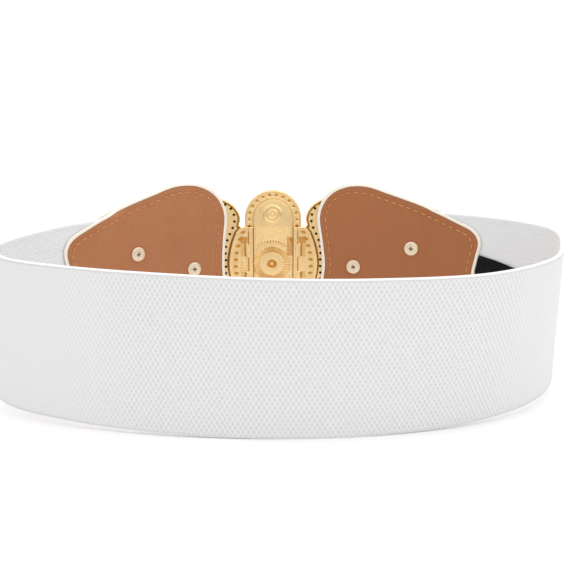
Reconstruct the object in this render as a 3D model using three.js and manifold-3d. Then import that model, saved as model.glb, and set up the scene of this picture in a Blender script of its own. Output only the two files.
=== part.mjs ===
import * as THREE from 'three';
import { mergeVertices } from 'three/addons/utils/BufferGeometryUtils.js';
import Module from 'manifold-3d';

const wasm = await Module();
wasm.setup();

// An elastic stretch belt with two leather tabs and a cast buckle, closed, standing on its edge.
// Lengths are millimetres. The pieces are laid out flat along the band and bent round the loop:
// s runs along the band from the buckle's middle (to the right, seen from inside the loop),
// t runs outwards from the band's outer face, z runs up from the band's mid-width.

// Gap kept between pieces that touch.
const CLEARANCE = 0.3;

// Elastic band and its loop.
const BAND_WIDTH = 60;
const BAND_THICKNESS = 1.8;
const BAND_TUCK = 27.4;
const BAND_STEPS = 58;
const SELVAGE_WIDTH = 1.4;
const SELVAGE_GROOVE = 0.3;
const SELVAGE_ROUND = 0.4;
const LOOP_SPAN = 252.1;
const LOOP_DEPTH = 156.8;

// The loop's outer face seen from above: across is a share of LOOP_SPAN, forward a share of
// LOOP_DEPTH, and lean is how far the wall's top tips outwards, in degrees.
const LOOP = [
  { across: 0, forward: 0.499, lean: 0 },
  { across: 0.119, forward: 0.496, lean: 0 },
  { across: 0.246, forward: 0.472, lean: 0 },
  { across: 0.3725, forward: 0.406, lean: 0 },
  { across: 0.47, forward: 0.2915, lean: 1.4 },
  { across: 0.524, forward: 0.13, lean: 3 },
  { across: 0.507, forward: -0.0765, lean: 0.3 },
  { across: 0.4435, forward: -0.2795, lean: 3.1 },
  { across: 0.318, forward: -0.4305, lean: 4.8 },
  { across: 0.155, forward: -0.495, lean: 0.7 },
  { across: 0.0035, forward: -0.4995, lean: -2.2 },
  { across: -0.158, forward: -0.4585, lean: -4.9 },
  { across: -0.306, forward: -0.385, lean: -4.8 },
  { across: -0.42, forward: -0.284, lean: -4.2 },
  { across: -0.467, forward: -0.125, lean: -2.5 },
  { across: -0.4375, forward: 0.0655, lean: -1 },
  { across: -0.3645, forward: 0.246, lean: 0 },
  { across: -0.246, forward: 0.3955, lean: 0 },
  { across: -0.119, forward: 0.4815, lean: 0 },
];

// Leather tabs: white outer leather, tan lining inside.
const TAB_START = 24.4;
const TAB_LENGTH = 92;
const TAB_HALF_HEIGHT = 45.5;
const TAB_COLUMNS = 8;
const LEATHER_THICKNESS = 1.4;
const LEATHER_LIFT = 0.15;
const LINING_THICKNESS = 1.2;
const LINING_INSET = 0.4;
const LINING_COLUMNS = 9;
const LINING_SKIRT = 3;

// Half of the tab's outline: up is a share of TAB_HALF_HEIGHT, inner and outer are where its two
// edges lie, as shares of TAB_LENGTH.
const TAB_OUTLINE = [
  { up: 0, inner: 0.024, outer: 0.97 },
  { up: 0.2, inner: 0.018, outer: 0.986 },
  { up: 0.36, inner: 0.01, outer: 1 },
  { up: 0.45, inner: 0.004, outer: 0.986 },
  { up: 0.53, inner: 0, outer: 0.948 },
  { up: 0.62, inner: 0.002, outer: 0.841 },
  { up: 0.71, inner: 0.014, outer: 0.727 },
  { up: 0.82, inner: 0.044, outer: 0.574 },
  { up: 0.92, inner: 0.1, outer: 0.419 },
  { up: 0.977, inner: 0.164, outer: 0.335 },
  { up: 1, inner: 0.22, outer: 0.28 },
];

// Screws that hold the tabs to the buckle: an inner one near mid-height, an outer pair.
const SCREW_HEAD_RADIUS = 3.75;
const SCREW_HEAD_HEIGHT = 1;
const SCREW_SHANK_RADIUS = 1.4;
const SCREW_BITE = 1.3;
const SCREW_CROSS_LENGTH = 2.8;
const SCREW_CROSS_WIDTH = 0.7;
const SCREW_CROSS_DEPTH = 0.6;
const SCREW_SIDES = 10;
const SCREW_INNER_REACH = 44;
const SCREW_INNER_RISE = -1.1;
const SCREW_OUTER_REACH = 75.3;
const SCREW_OUTER_RISE = 10.3;
const SCREWS = [
  { name: 'inner', reach: SCREW_INNER_REACH, rise: SCREW_INNER_RISE },
  { name: 'upper', reach: SCREW_OUTER_REACH, rise: SCREW_OUTER_RISE },
  { name: 'lower', reach: SCREW_OUTER_REACH, rise: -SCREW_OUTER_RISE },
];

// Buckle wings, the cast plates outside the tabs.
const WING_THICKNESS = 2.6;
const WING_HALF_HEIGHT = 36;
const WING_REACH = 84;
const WING_COLUMNS = 6;

// Half of the wing's outline: up is a share of WING_HALF_HEIGHT, inner and outer are shares of
// WING_REACH from the buckle's middle.
const WING_OUTLINE = [
  { up: 0, inner: 0.193, outer: 1 },
  { up: 0.4, inner: 0.193, outer: 0.958 },
  { up: 0.562, inner: 0.193, outer: 0.905 },
  { up: 0.58, inner: 0.219, outer: 0.899 },
  { up: 0.667, inner: 0.213, outer: 0.857 },
  { up: 0.772, inner: 0.22, outer: 0.798 },
  { up: 0.878, inner: 0.25, outer: 0.714 },
  { up: 0.944, inner: 0.288, outer: 0.619 },
  { up: 1, inner: 0.337, outer: 0.5 },
];

// Row of round pits along the wing's inner edge, in the same shares.
const WING_PIT_LINE = [
  { up: 0.903, along: 0.306 },
  { up: 0.842, along: 0.27 },
  { up: 0.742, along: 0.25 },
  { up: 0.636, along: 0.248 },
  { up: 0.533, along: 0.262 },
  { up: 0.433, along: 0.283 },
  { up: 0.333, along: 0.3 },
  { up: 0.222, along: 0.308 },
  { up: 0.111, along: 0.308 },
  { up: 0, along: 0.306 },
];
const PIT_RADIUS = 0.9;
const PIT_DEPTH = 1.2;
const PIT_PITCH = 3.8;
const PIT_SIDES = 4;

// Catch plate of each buckle half: a half-moon on the loop's inner side, with a rail.
const CATCH_HALF_HEIGHT = 20.5;
const CATCH_REACH = 24.4;
const CATCH_THICKNESS = 1.8;
const CATCH_OVERHANG = 1;
const RAIL_START = 11;
const RAIL_WIDTH = 2.3;
const RAIL_RISE = 0.7;
const POCKET_START = 14.6;
const POCKET_WIDTH = 3.2;
const POCKET_TOP = 15.4;
const POCKET_HEIGHT = 5.6;
const POCKET_DEPTH = 1.1;

// Half of the catch plate's curved outer edge: up is a share of CATCH_HALF_HEIGHT, along a share
// of CATCH_REACH.
const CATCH_OUTLINE = [
  { up: 0, along: 1 },
  { up: 0.195, along: 0.988 },
  { up: 0.415, along: 0.955 },
  { up: 0.634, along: 0.9 },
  { up: 0.859, along: 0.828 },
  { up: 1, along: 0.713 },
];

// Medallion, the tall centre piece outside both catch plates.
const MEDALLION_HALF_WIDTH = 15.2;
const MEDALLION_HALF_HEIGHT = 40.1;
const MEDALLION_THICKNESS = 2.6;
const MEDALLION_BORDER = 4.5;
const PANEL_RISE = 1.5;
const FRONT_RISE = 1.2;
const FRONT_INSET = 2;
const BORDER_PIT_RADIUS = 0.9;
const BORDER_PIT_SIDES = 3;
const BORDER_PIT_DEPTH = 0.8;
const BORDER_PITS = 14;
const BOSS_HEIGHT = 26.8;
const BOSS_RADIUS = 5;
const BOSS_SIDES = 12;
const SUN_RADIUS = 9.8;
const SUN_RISE = 0.55;
const SUN_RAYS = 12;
const RELIEF_ROOT = 0.5;

// Woven label inside the band, beside the right tab: it starts higher than mid-width and slopes down.
const LABEL_LENGTH = 47.8;
const LABEL_RISE = 3.2;
const LABEL_FALL = 0.16;
const LABEL_HALF_HEIGHT = 6.8;
const LABEL_THICKNESS = 1;
const LABEL_COLUMNS = 7;

const COLORS = {
  elastic: { color: '#e9eaeb', roughness: 0.85, metalness: 0 },
  leather: { color: '#f3ebdf', roughness: 0.6, metalness: 0 },
  lining: { color: '#ab6f4d', roughness: 0.7, metalness: 0 },
  gold: { color: '#e6bd6e', roughness: 0.3, metalness: 1 },
  screw: { color: '#d8cdb8', roughness: 0.3, metalness: 1 },
  label: { color: '#17171b', roughness: 0.8, metalness: 0 },
};

// Stack of the pieces, from the loop's inside out.
const BAND_END = TAB_START + TAB_LENGTH - BAND_TUCK;
const RAMP_START = SCREW_OUTER_REACH + SCREW_HEAD_RADIUS + CLEARANCE;
const RAMP_END = BAND_END - CLEARANCE;
const LEATHER_INSIDE = CLEARANCE;
const WING_INSIDE = LEATHER_INSIDE + LEATHER_THICKNESS + CLEARANCE;
const CATCH_OUTSIDE = WING_INSIDE - 1.4;
const CATCH_INSIDE = CATCH_OUTSIDE - CATCH_THICKNESS;
const MEDALLION_INSIDE = CATCH_OUTSIDE + CLEARANCE;
const MEDALLION_OUTSIDE = MEDALLION_INSIDE + MEDALLION_THICKNESS;
const PANEL_INSIDE = MEDALLION_INSIDE - PANEL_RISE;
const LOOP_SAMPLES = 760;
const SHORTEST = 1e-4;

// The loop as a closed curve through its table, with the lean carried as the third value.
function loopPath() {
  const points = LOOP.map((row) => new THREE.Vector3(
    row.across * LOOP_SPAN,
    row.forward * LOOP_DEPTH,
    THREE.MathUtils.degToRad(row.lean),
  ));
  const curve = new THREE.CatmullRomCurve3(points, true, 'catmullrom', 0.5);
  const places = [];
  let length = 0;
  for (let i = 0; i <= LOOP_SAMPLES; i += 1) {
    const place = curve.getPoint(i / LOOP_SAMPLES);
    if (i > 0) {
      const last = places[i - 1].place;
      length += Math.hypot(place.x - last.x, place.y - last.y);
    }
    places.push({ place, length });
  }
  return { places, length };
}

const PATH = loopPath();

// The loop's point at s, by straight steps between the path's samples.
function loopPoint(s) {
  const wanted = THREE.MathUtils.euclideanModulo(s, PATH.length);
  let low = 0;
  let high = LOOP_SAMPLES;
  while (high - low > 1) {
    const middle = (low + high) >> 1;
    if (PATH.places[middle].length <= wanted) low = middle;
    else high = middle;
  }
  const start = PATH.places[low];
  const end = PATH.places[high];
  const share = (wanted - start.length) / (end.length - start.length);
  return start.place.clone().lerp(end.place, share);
}

// Bends the flat place (s, t, z) round the loop.
function bendPoint(s, t, z) {
  const step = 1;
  const here = loopPoint(s);
  const ahead = loopPoint(s + step);
  const behind = loopPoint(s - step);
  const along = new THREE.Vector2(ahead.x - behind.x, ahead.y - behind.y).normalize();
  const out = t + z * Math.tan(here.z);
  return new THREE.Vector3(here.x - along.y * out, here.y + along.x * out, z);
}

// Bends a flat geometry, which lies at s, t, z on its X, Y, Z. side is 1 right, -1 left.
function bend(flat, side = 1) {
  const bare = new THREE.BufferGeometry();
  bare.setAttribute('position', flat.attributes.position.clone());
  if (flat.index) bare.setIndex(flat.index.clone());
  const geometry = mergeVertices(bare, SHORTEST);
  const position = geometry.attributes.position;
  for (let i = 0; i < position.count; i += 1) {
    const point = bendPoint(side * position.getX(i), position.getY(i), position.getZ(i));
    position.setXYZ(i, point.x, point.y, point.z);
  }
  if (side < 0) {
    const index = geometry.index.array;
    for (let i = 0; i < index.length; i += 3) {
      [index[i], index[i + 1]] = [index[i + 1], index[i]];
    }
  }
  return geometry;
}

function toSolid(geometry) {
  return new wasm.Manifold(new wasm.Mesh({
    numProp: 3,
    vertProperties: Float32Array.from(geometry.attributes.position.array),
    triVerts: Uint32Array.from(geometry.index.array),
  }));
}

function toGeometry(solid) {
  const mesh = solid.getMesh();
  const geometry = new THREE.BufferGeometry();
  geometry.setAttribute('position', new THREE.BufferAttribute(mesh.vertProperties, 3));
  geometry.setIndex(new THREE.BufferAttribute(mesh.triVerts, 1));
  return geometry;
}

// A whole outline, bottom to top, from the table of its upper half.
function outlineRows(table, halfHeight, reach, start = 0, inset = 0) {
  const upper = table.map((row) => ({
    z: row.up * (halfHeight - inset),
    inner: start + row.inner * reach + inset,
    outer: start + row.outer * reach - inset,
  }));
  const lower = upper.slice(1).reverse().map((row) => ({ ...row, z: -row.z }));
  return [...lower, ...upper];
}

const evenColumn = (row, share) => THREE.MathUtils.lerp(row.inner, row.outer, share);

// A closed flat sheet between the rows' inner and outer edges. faces(s, z) gives its two t values,
// and column(row, share) where each column lies.
function sheet(rows, columns, faces, column = evenColumn) {
  const positions = [];
  const index = [];
  const width = columns + 1;
  for (const row of rows) {
    for (let j = 0; j <= columns; j += 1) {
      const s = column(row, j / columns);
      const [inside, outside] = faces(s, row.z);
      positions.push(s, inside, row.z, s, outside, row.z);
    }
  }
  const inner = (i, j) => 2 * (i * width + j);
  const outer = (i, j) => inner(i, j) + 1;
  const quad = (a, b, c, d) => index.push(a, b, c, a, c, d);
  const last = rows.length - 1;
  for (let i = 0; i < last; i += 1) {
    for (let j = 0; j < columns; j += 1) {
      quad(inner(i, j), inner(i, j + 1), inner(i + 1, j + 1), inner(i + 1, j));
      quad(outer(i, j), outer(i + 1, j), outer(i + 1, j + 1), outer(i, j + 1));
    }
    quad(inner(i, 0), inner(i + 1, 0), outer(i + 1, 0), outer(i, 0));
    quad(inner(i, columns), outer(i, columns), outer(i + 1, columns), inner(i + 1, columns));
  }
  for (let j = 0; j < columns; j += 1) {
    quad(inner(0, j), outer(0, j), outer(0, j + 1), inner(0, j + 1));
    quad(inner(last, j), inner(last, j + 1), outer(last, j + 1), outer(last, j));
  }
  const geometry = new THREE.BufferGeometry();
  geometry.setAttribute('position', new THREE.Float32BufferAttribute(positions, 3));
  geometry.setIndex(index);
  return geometry;
}

// A flat outline of s and z points, made solid between two t values.
function prism(points, inside, outside) {
  const depth = outside - inside;
  const shape = new THREE.Shape(points);
  const geometry = new THREE.ExtrudeGeometry(shape, { depth, bevelEnabled: false });
  return geometry.rotateX(Math.PI / 2).translate(0, outside, 0);
}

function rectangle(left, bottom, width, height) {
  return [
    new THREE.Vector2(left, bottom),
    new THREE.Vector2(left + width, bottom),
    new THREE.Vector2(left + width, bottom + height),
    new THREE.Vector2(left, bottom + height),
  ];
}

// An upright outline with straight sides and half-round ends.
function stadium(halfWidth, halfHeight, steps = 9) {
  const middle = halfHeight - halfWidth;
  const points = [];
  for (const [side, start] of [[1, 0], [-1, Math.PI]]) {
    for (let i = 0; i <= steps; i += 1) {
      const angle = start + (Math.PI * i) / steps;
      const z = side * middle + halfWidth * Math.sin(angle);
      points.push(new THREE.Vector2(halfWidth * Math.cos(angle), z));
    }
  }
  return points;
}

// A round pit or hole, cut along t.
function drill(radius, s, z, inside, outside, sides) {
  const geometry = new THREE.CylinderGeometry(radius, radius, outside - inside, sides);
  return geometry.translate(s, (inside + outside) / 2, z);
}

// Places for pits at even steps along a line and its mirror image below.
function evenPlaces(line, halfHeight, reach, pitch) {
  const upper = line.map((row) => new THREE.Vector2(row.along * reach, row.up * halfHeight));
  const lower = upper.slice(0, -1).reverse().map((point) => new THREE.Vector2(point.x, -point.y));
  const curve = new THREE.SplineCurve([...upper, ...lower]);
  return curve.getSpacedPoints(Math.round(curve.getLength() / pitch));
}

// Band: a section with a grooved selvage on each edge, carried round the loop's long way.
function bandSection() {
  const half = BAND_WIDTH / 2;
  const rim = half - SELVAGE_WIDTH;
  const upper = [
    [-SELVAGE_GROOVE, rim],
    [0, rim + SELVAGE_ROUND],
    [0, half - SELVAGE_ROUND],
    [-SELVAGE_ROUND, half],
    [SELVAGE_ROUND - BAND_THICKNESS, half],
    [-BAND_THICKNESS, half - SELVAGE_ROUND],
  ];
  const shoulder = [0, rim - SELVAGE_ROUND];
  const lower = upper.map(([t, z]) => [t, -z]).reverse();
  return [shoulder, ...upper, ...lower, [0, -shoulder[1]]];
}

function elasticBand() {
  const section = bandSection();
  const count = section.length;
  const run = PATH.length - 2 * BAND_END;
  const positions = [];
  const index = [];
  for (let i = 0; i <= BAND_STEPS; i += 1) {
    const s = BAND_END + (run * i) / BAND_STEPS;
    for (const [t, z] of section) positions.push(...bendPoint(s, t, z).toArray());
  }
  for (let i = 0; i < BAND_STEPS; i += 1) {
    for (let k = 0; k < count; k += 1) {
      const next = (k + 1) % count;
      const a = i * count + k;
      const b = i * count + next;
      index.push(a, b, b + count, a, b + count, a + count);
    }
  }
  const outline = section.map(([t, z]) => new THREE.Vector2(t, z));
  const end = BAND_STEPS * count;
  for (const [a, b, c] of THREE.ShapeUtils.triangulateShape(outline, [])) {
    index.push(a, c, b, end + a, end + b, end + c);
  }
  const geometry = new THREE.BufferGeometry();
  geometry.setAttribute('position', new THREE.Float32BufferAttribute(positions, 3));
  geometry.setIndex(index);
  return geometry;
}

// Clearance holes for the three screws of one side.
function screwHoles(side, inside, outside) {
  const radius = SCREW_SHANK_RADIUS + CLEARANCE;
  return SCREWS.map((screw) => toSolid(bend(
    drill(radius, screw.reach, screw.rise, inside - 1, outside, SCREW_SIDES),
    side,
  )));
}

function cutAll(solid, cutters) {
  return cutters.reduce((rest, cutter) => rest.subtract(cutter), solid);
}

// Columns of the outer leather: closer together towards the tab's end, where the loop turns more.
function leatherColumn(row, share) {
  return evenColumn(row, share * (1.3 - 0.3 * share));
}

function tabOuter(side) {
  const rows = outlineRows(TAB_OUTLINE, TAB_HALF_HEIGHT, TAB_LENGTH, TAB_START);
  const outside = LEATHER_INSIDE + LEATHER_THICKNESS;
  const faces = (s) => {
    const lift = LEATHER_LIFT * THREE.MathUtils.smoothstep(s, RAMP_START, BAND_END);
    return [LEATHER_INSIDE + lift, outside + lift];
  };
  const flat = sheet(rows, TAB_COLUMNS, faces, leatherColumn);
  const leather = toSolid(bend(flat, side));
  return toGeometry(cutAll(leather, screwHoles(side, LEATHER_INSIDE, outside + 1)));
}

// How far the lining steps inwards at s, z to pass over the band's tucked end.
function liningStep(s, z) {
  const ramp = THREE.MathUtils.smoothstep(s, RAMP_START, RAMP_END);
  const edge = BAND_WIDTH / 2 + LINING_SKIRT;
  const skirt = 1 - THREE.MathUtils.smoothstep(Math.abs(z), edge, edge + LINING_SKIRT);
  return ramp * skirt * (BAND_THICKNESS + CLEARANCE);
}

// Columns of the lining: half before its ramp, three tenths on it and the rest beyond.
function liningColumn(row, share) {
  const end = Math.min(RAMP_END, row.outer - LINING_THICKNESS);
  if (end < RAMP_START) return evenColumn(row, share);
  if (share <= 0.5) return THREE.MathUtils.lerp(row.inner, RAMP_START, share / 0.5);
  if (share <= 0.8) return THREE.MathUtils.lerp(RAMP_START, end, (share - 0.5) / 0.3);
  return THREE.MathUtils.lerp(end, row.outer, (share - 0.8) / 0.2);
}

function tabLining(side) {
  const rows = outlineRows(TAB_OUTLINE, TAB_HALF_HEIGHT, TAB_LENGTH, TAB_START, LINING_INSET);
  const faces = (s, z) => {
    const outside = -liningStep(s, z);
    return [outside - LINING_THICKNESS, outside];
  };
  const flat = sheet(rows, LINING_COLUMNS, faces, liningColumn);
  const leather = toSolid(bend(flat, side));
  return toGeometry(cutAll(leather, screwHoles(side, -LINING_THICKNESS, 1)));
}

function screwGeometry(side, screw) {
  const seat = -LINING_THICKNESS - CLEARANCE;
  const tip = WING_INSIDE + SCREW_BITE;
  const profile = [
    [0, -SCREW_HEAD_HEIGHT],
    [0.62 * SCREW_HEAD_RADIUS, -0.92 * SCREW_HEAD_HEIGHT],
    [0.93 * SCREW_HEAD_RADIUS, -0.55 * SCREW_HEAD_HEIGHT],
    [SCREW_HEAD_RADIUS, -0.15 * SCREW_HEAD_HEIGHT],
    [SCREW_HEAD_RADIUS, 0],
    [SCREW_SHANK_RADIUS, 0],
    [SCREW_SHANK_RADIUS, tip - seat],
    [0, tip - seat],
  ];
  const points = profile.map(([radius, height]) => new THREE.Vector2(radius, height));
  const body = new THREE.LatheGeometry(points, SCREW_SIDES).translate(screw.reach, seat, screw.rise);
  const half = SCREW_CROSS_LENGTH / 2;
  const arm = SCREW_CROSS_WIDTH / 2;
  const floor = seat - SCREW_HEAD_HEIGHT + SCREW_CROSS_DEPTH;
  const cutters = [[half, arm], [arm, half]].map(([x, z]) => {
    const bar = rectangle(screw.reach - x, screw.rise - z, 2 * x, 2 * z);
    return toSolid(bend(prism(bar, floor - 2, floor), side));
  });
  return toGeometry(cutAll(toSolid(bend(body, side)), cutters));
}

// Half-moon outline of a catch plate, from its rail to its curved edge less an inset.
function catchOutline(start, inset) {
  const edge = CATCH_OUTLINE.map((row) => new THREE.Vector2(
    row.along * CATCH_REACH - inset,
    row.up * CATCH_HALF_HEIGHT,
  ));
  const lower = edge.slice(1).reverse().map((point) => new THREE.Vector2(point.x, -point.y));
  return [
    new THREE.Vector2(start, -CATCH_HALF_HEIGHT),
    ...lower,
    ...edge,
    new THREE.Vector2(start, CATCH_HALF_HEIGHT),
  ];
}

function catchPlate(side) {
  const foot = 2 * CLEARANCE + MEDALLION_HALF_WIDTH;
  const rail = rectangle(RAIL_START, -CATCH_HALF_HEIGHT, RAIL_WIDTH, 2 * CATCH_HALF_HEIGHT);
  const pieces = [
    prism(catchOutline(RAIL_START, 0), CATCH_INSIDE, CATCH_OUTSIDE),
    prism(catchOutline(foot, CATCH_OVERHANG), CATCH_OUTSIDE - 0.5, WING_INSIDE + 0.5),
    prism(rail, CATCH_INSIDE - RAIL_RISE, CATCH_INSIDE + 0.5),
  ].map((flat) => toSolid(bend(flat, side)));
  const pockets = [1, -1].map((end) => {
    const bottom = end > 0 ? POCKET_TOP - POCKET_HEIGHT : -POCKET_TOP;
    const outline = rectangle(POCKET_START, bottom, POCKET_WIDTH, POCKET_HEIGHT);
    return toSolid(bend(prism(outline, CATCH_INSIDE - 1, CATCH_INSIDE + POCKET_DEPTH), side));
  });
  return cutAll(pieces[0].add(pieces[1]).add(pieces[2]), pockets);
}

function buckleHalf(side) {
  const rows = outlineRows(WING_OUTLINE, WING_HALF_HEIGHT, WING_REACH);
  const outside = WING_INSIDE + WING_THICKNESS;
  const wing = toSolid(bend(sheet(rows, WING_COLUMNS, () => [WING_INSIDE, outside]), side));
  const floor = WING_INSIDE + PIT_DEPTH;
  const places = evenPlaces(WING_PIT_LINE, WING_HALF_HEIGHT, WING_REACH, PIT_PITCH);
  const pits = places.map((place) => toSolid(bend(
    drill(PIT_RADIUS, place.x, place.y, WING_INSIDE - 1, floor, PIT_SIDES),
    side,
  )));
  const holes = screwHoles(side, WING_INSIDE, WING_INSIDE + SCREW_BITE + CLEARANCE);
  return toGeometry(cutAll(wing, [...pits, ...holes]).add(catchPlate(side)));
}

// Ringed boss near each end of the medallion, as a turned profile of radius and rise shares.
function boss(z) {
  const rings = [[0, 0.6], [0.2, 0.7], [0.4, 0.25], [0.52, 0.6], [0.7, 0.2], [0.88, 0.7], [1, 0]];
  const points = rings.map(([radius, rise]) => new THREE.Vector2(radius * BOSS_RADIUS, -rise));
  points.push(new THREE.Vector2(BOSS_RADIUS, RELIEF_ROOT));
  points.push(new THREE.Vector2(0, RELIEF_ROOT));
  return new THREE.LatheGeometry(points, BOSS_SIDES).translate(0, PANEL_INSIDE, z);
}

// Sunburst disc at the medallion's middle: a hollowed core, a plain ring and fluted rays.
function sunburst() {
  const rings = [
    { radius: 0.11, crest: 1, dip: 1 },
    { radius: 0.16, crest: 0.2, dip: 0.2 },
    { radius: 0.26, crest: 0.2, dip: 0.2 },
    { radius: 0.3, crest: 1, dip: 1 },
    { radius: 0.64, crest: 1, dip: 1 },
    { radius: 1, crest: 0.8, dip: 0.1 },
  ];
  const sides = 2 * SUN_RAYS;
  const root = PANEL_INSIDE + RELIEF_ROOT;
  const positions = [0, PANEL_INSIDE - SUN_RISE, 0, 0, root, 0];
  const index = [];
  const at = (ring, k) => 2 + ring * sides + (k % sides);
  const layers = [...rings, { radius: 1, root: true }];
  for (const ring of layers) {
    for (let k = 0; k < sides; k += 1) {
      const angle = (2 * Math.PI * k) / sides;
      const rise = (k % 2 ? ring.dip : ring.crest) * SUN_RISE;
      const t = ring.root ? root : PANEL_INSIDE - rise;
      const radius = ring.radius * SUN_RADIUS;
      positions.push(radius * Math.cos(angle), t, radius * Math.sin(angle));
    }
  }
  for (let k = 0; k < sides; k += 1) {
    index.push(0, at(0, k), at(0, k + 1));
    index.push(1, at(rings.length, k + 1), at(rings.length, k));
    for (let ring = 0; ring < rings.length; ring += 1) {
      const [a, b] = [at(ring, k), at(ring, k + 1)];
      const [c, d] = [at(ring + 1, k), at(ring + 1, k + 1)];
      index.push(a, c, b, b, c, d);
    }
  }
  const geometry = new THREE.BufferGeometry();
  geometry.setAttribute('position', new THREE.Float32BufferAttribute(positions, 3));
  geometry.setIndex(index);
  return geometry;
}

// Centres of the pits along the medallion's border, round its upper end.
function borderPitPlaces() {
  const offset = MEDALLION_BORDER / 2;
  const radius = MEDALLION_HALF_WIDTH - offset;
  const middle = MEDALLION_HALF_HEIGHT - MEDALLION_HALF_WIDTH;
  const path = new THREE.Path();
  path.moveTo(radius, middle - PIT_PITCH);
  path.lineTo(radius, middle);
  path.absarc(0, middle, radius, 0, Math.PI, false);
  path.lineTo(-radius, middle - PIT_PITCH);
  return path.getSpacedPoints(BORDER_PITS - 1);
}

function medallion() {
  const front = MEDALLION_HALF_WIDTH - FRONT_INSET;
  const panel = MEDALLION_HALF_WIDTH - MEDALLION_BORDER;
  const plates = [
    prism(stadium(MEDALLION_HALF_WIDTH, MEDALLION_HALF_HEIGHT), MEDALLION_INSIDE, MEDALLION_OUTSIDE),
    prism(
      stadium(front, MEDALLION_HALF_HEIGHT - FRONT_INSET),
      MEDALLION_OUTSIDE - RELIEF_ROOT,
      MEDALLION_OUTSIDE + FRONT_RISE,
    ),
    prism(
      stadium(panel, MEDALLION_HALF_HEIGHT - MEDALLION_BORDER),
      PANEL_INSIDE,
      MEDALLION_INSIDE + RELIEF_ROOT,
    ),
    boss(BOSS_HEIGHT),
    boss(-BOSS_HEIGHT),
    sunburst(),
  ].map((flat) => toSolid(bend(flat)));
  const body = plates.slice(1).reduce((whole, plate) => whole.add(plate), plates[0]);
  const floor = MEDALLION_INSIDE + BORDER_PIT_DEPTH;
  const pits = borderPitPlaces().flatMap((place) => [1, -1].map((end) => {
    const height = end * place.y;
    const mouth = MEDALLION_INSIDE - 1;
    return toSolid(bend(
      drill(BORDER_PIT_RADIUS, place.x, height, mouth, floor, BORDER_PIT_SIDES),
    ));
  }));
  return toGeometry(cutAll(body, pits));
}

// Label: its near end follows the tab's end, the other end is straight, and it slopes down from
// the one to the other.
function label() {
  const tab = outlineRows(TAB_OUTLINE, TAB_HALF_HEIGHT, TAB_LENGTH, TAB_START);
  const edgeAt = (z) => {
    const above = tab.findIndex((row) => row.z >= z);
    const [low, high] = [tab[above - 1], tab[above]];
    return THREE.MathUtils.lerp(low.outer, high.outer, (z - low.z) / (high.z - low.z));
  };
  const near = TAB_START + TAB_LENGTH;
  const far = near + LABEL_LENGTH;
  const rows = [-1, -0.5, 0, 0.5, 1].map((share) => {
    const z = share * LABEL_HALF_HEIGHT;
    return { z, inner: edgeAt(z + LABEL_RISE) + CLEARANCE, outer: far };
  });
  const outside = -BAND_THICKNESS - CLEARANCE;
  const flat = sheet(rows, LABEL_COLUMNS, () => [outside - LABEL_THICKNESS, outside]);
  const position = flat.attributes.position;
  for (let i = 0; i < position.count; i += 1) {
    const fall = LABEL_FALL * (position.getX(i) - near);
    position.setZ(i, position.getZ(i) + LABEL_RISE - fall);
  }
  return bend(flat);
}

function piece(name, geometry, finish) {
  const flat = geometry.toNonIndexed();
  flat.computeVertexNormals();
  const mesh = new THREE.Mesh(flat, new THREE.MeshStandardMaterial(finish));
  mesh.name = name;
  return mesh;
}

// Lowest corner of some meshes once turned.
function lowestCorner(meshes, turn, keep = () => true) {
  let lowest = null;
  let height = Infinity;
  for (const mesh of meshes) {
    const position = mesh.geometry.attributes.position;
    for (let i = 0; i < position.count; i += 1) {
      const point = new THREE.Vector3().fromBufferAttribute(position, i);
      const turned = point.clone().applyQuaternion(turn).z;
      if (turned < height && keep(point)) {
        height = turned;
        lowest = point;
      }
    }
  }
  return lowest;
}

// The turn that lets both tabs and the band's back edge touch the floor together.
function restTurn(band, leftTab, rightTab) {
  const turn = new THREE.Quaternion();
  const up = new THREE.Vector3(0, 0, 1);
  for (let round = 0; round < 8; round += 1) {
    const back = lowestCorner([band], turn, (point) => point.y < 0);
    const left = lowestCorner([leftTab], turn);
    const right = lowestCorner([rightTab], turn);
    const normal = right.clone().sub(back).cross(left.clone().sub(back)).normalize();
    turn.setFromUnitVectors(normal, up);
  }
  return turn;
}

const belt = new THREE.Group();
belt.add(piece('elastic_band', elasticBand(), COLORS.elastic));
for (const [name, side] of [['left', -1], ['right', 1]]) {
  belt.add(piece(`tab_outer_${name}`, tabOuter(side), COLORS.leather));
  belt.add(piece(`tab_lining_${name}`, tabLining(side), COLORS.lining));
  belt.add(piece(`buckle_half_${name}`, buckleHalf(side), COLORS.gold));
  for (const screw of SCREWS) {
    belt.add(piece(`screw_${name}_${screw.name}`, screwGeometry(side, screw), COLORS.screw));
  }
}
belt.add(piece('medallion', medallion(), COLORS.gold));
belt.add(piece('label', label(), COLORS.label));

// Stand the belt on its edge, over the origin.
const byName = (name) => belt.getObjectByName(name);
belt.quaternion.copy(restTurn(
  byName('elastic_band'),
  byName('tab_outer_left'),
  byName('tab_outer_right'),
));
const box = new THREE.Box3().setFromObject(belt, true);
belt.position.set(-(box.min.x + box.max.x) / 2, -(box.min.y + box.max.y) / 2, -box.min.z);

const group = new THREE.Group();
group.add(belt);

export default group;
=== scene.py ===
"""Looks of the elastic stretch belt: woven elastic, stitched leather tabs and a cast gold buckle."""

import logging
import math
from collections.abc import Callable, Iterator, Sequence
from contextlib import contextmanager
from dataclasses import dataclass
from enum import Enum

import bpy
import numpy as np
from mathutils import Matrix, Quaternion, Vector


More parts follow.
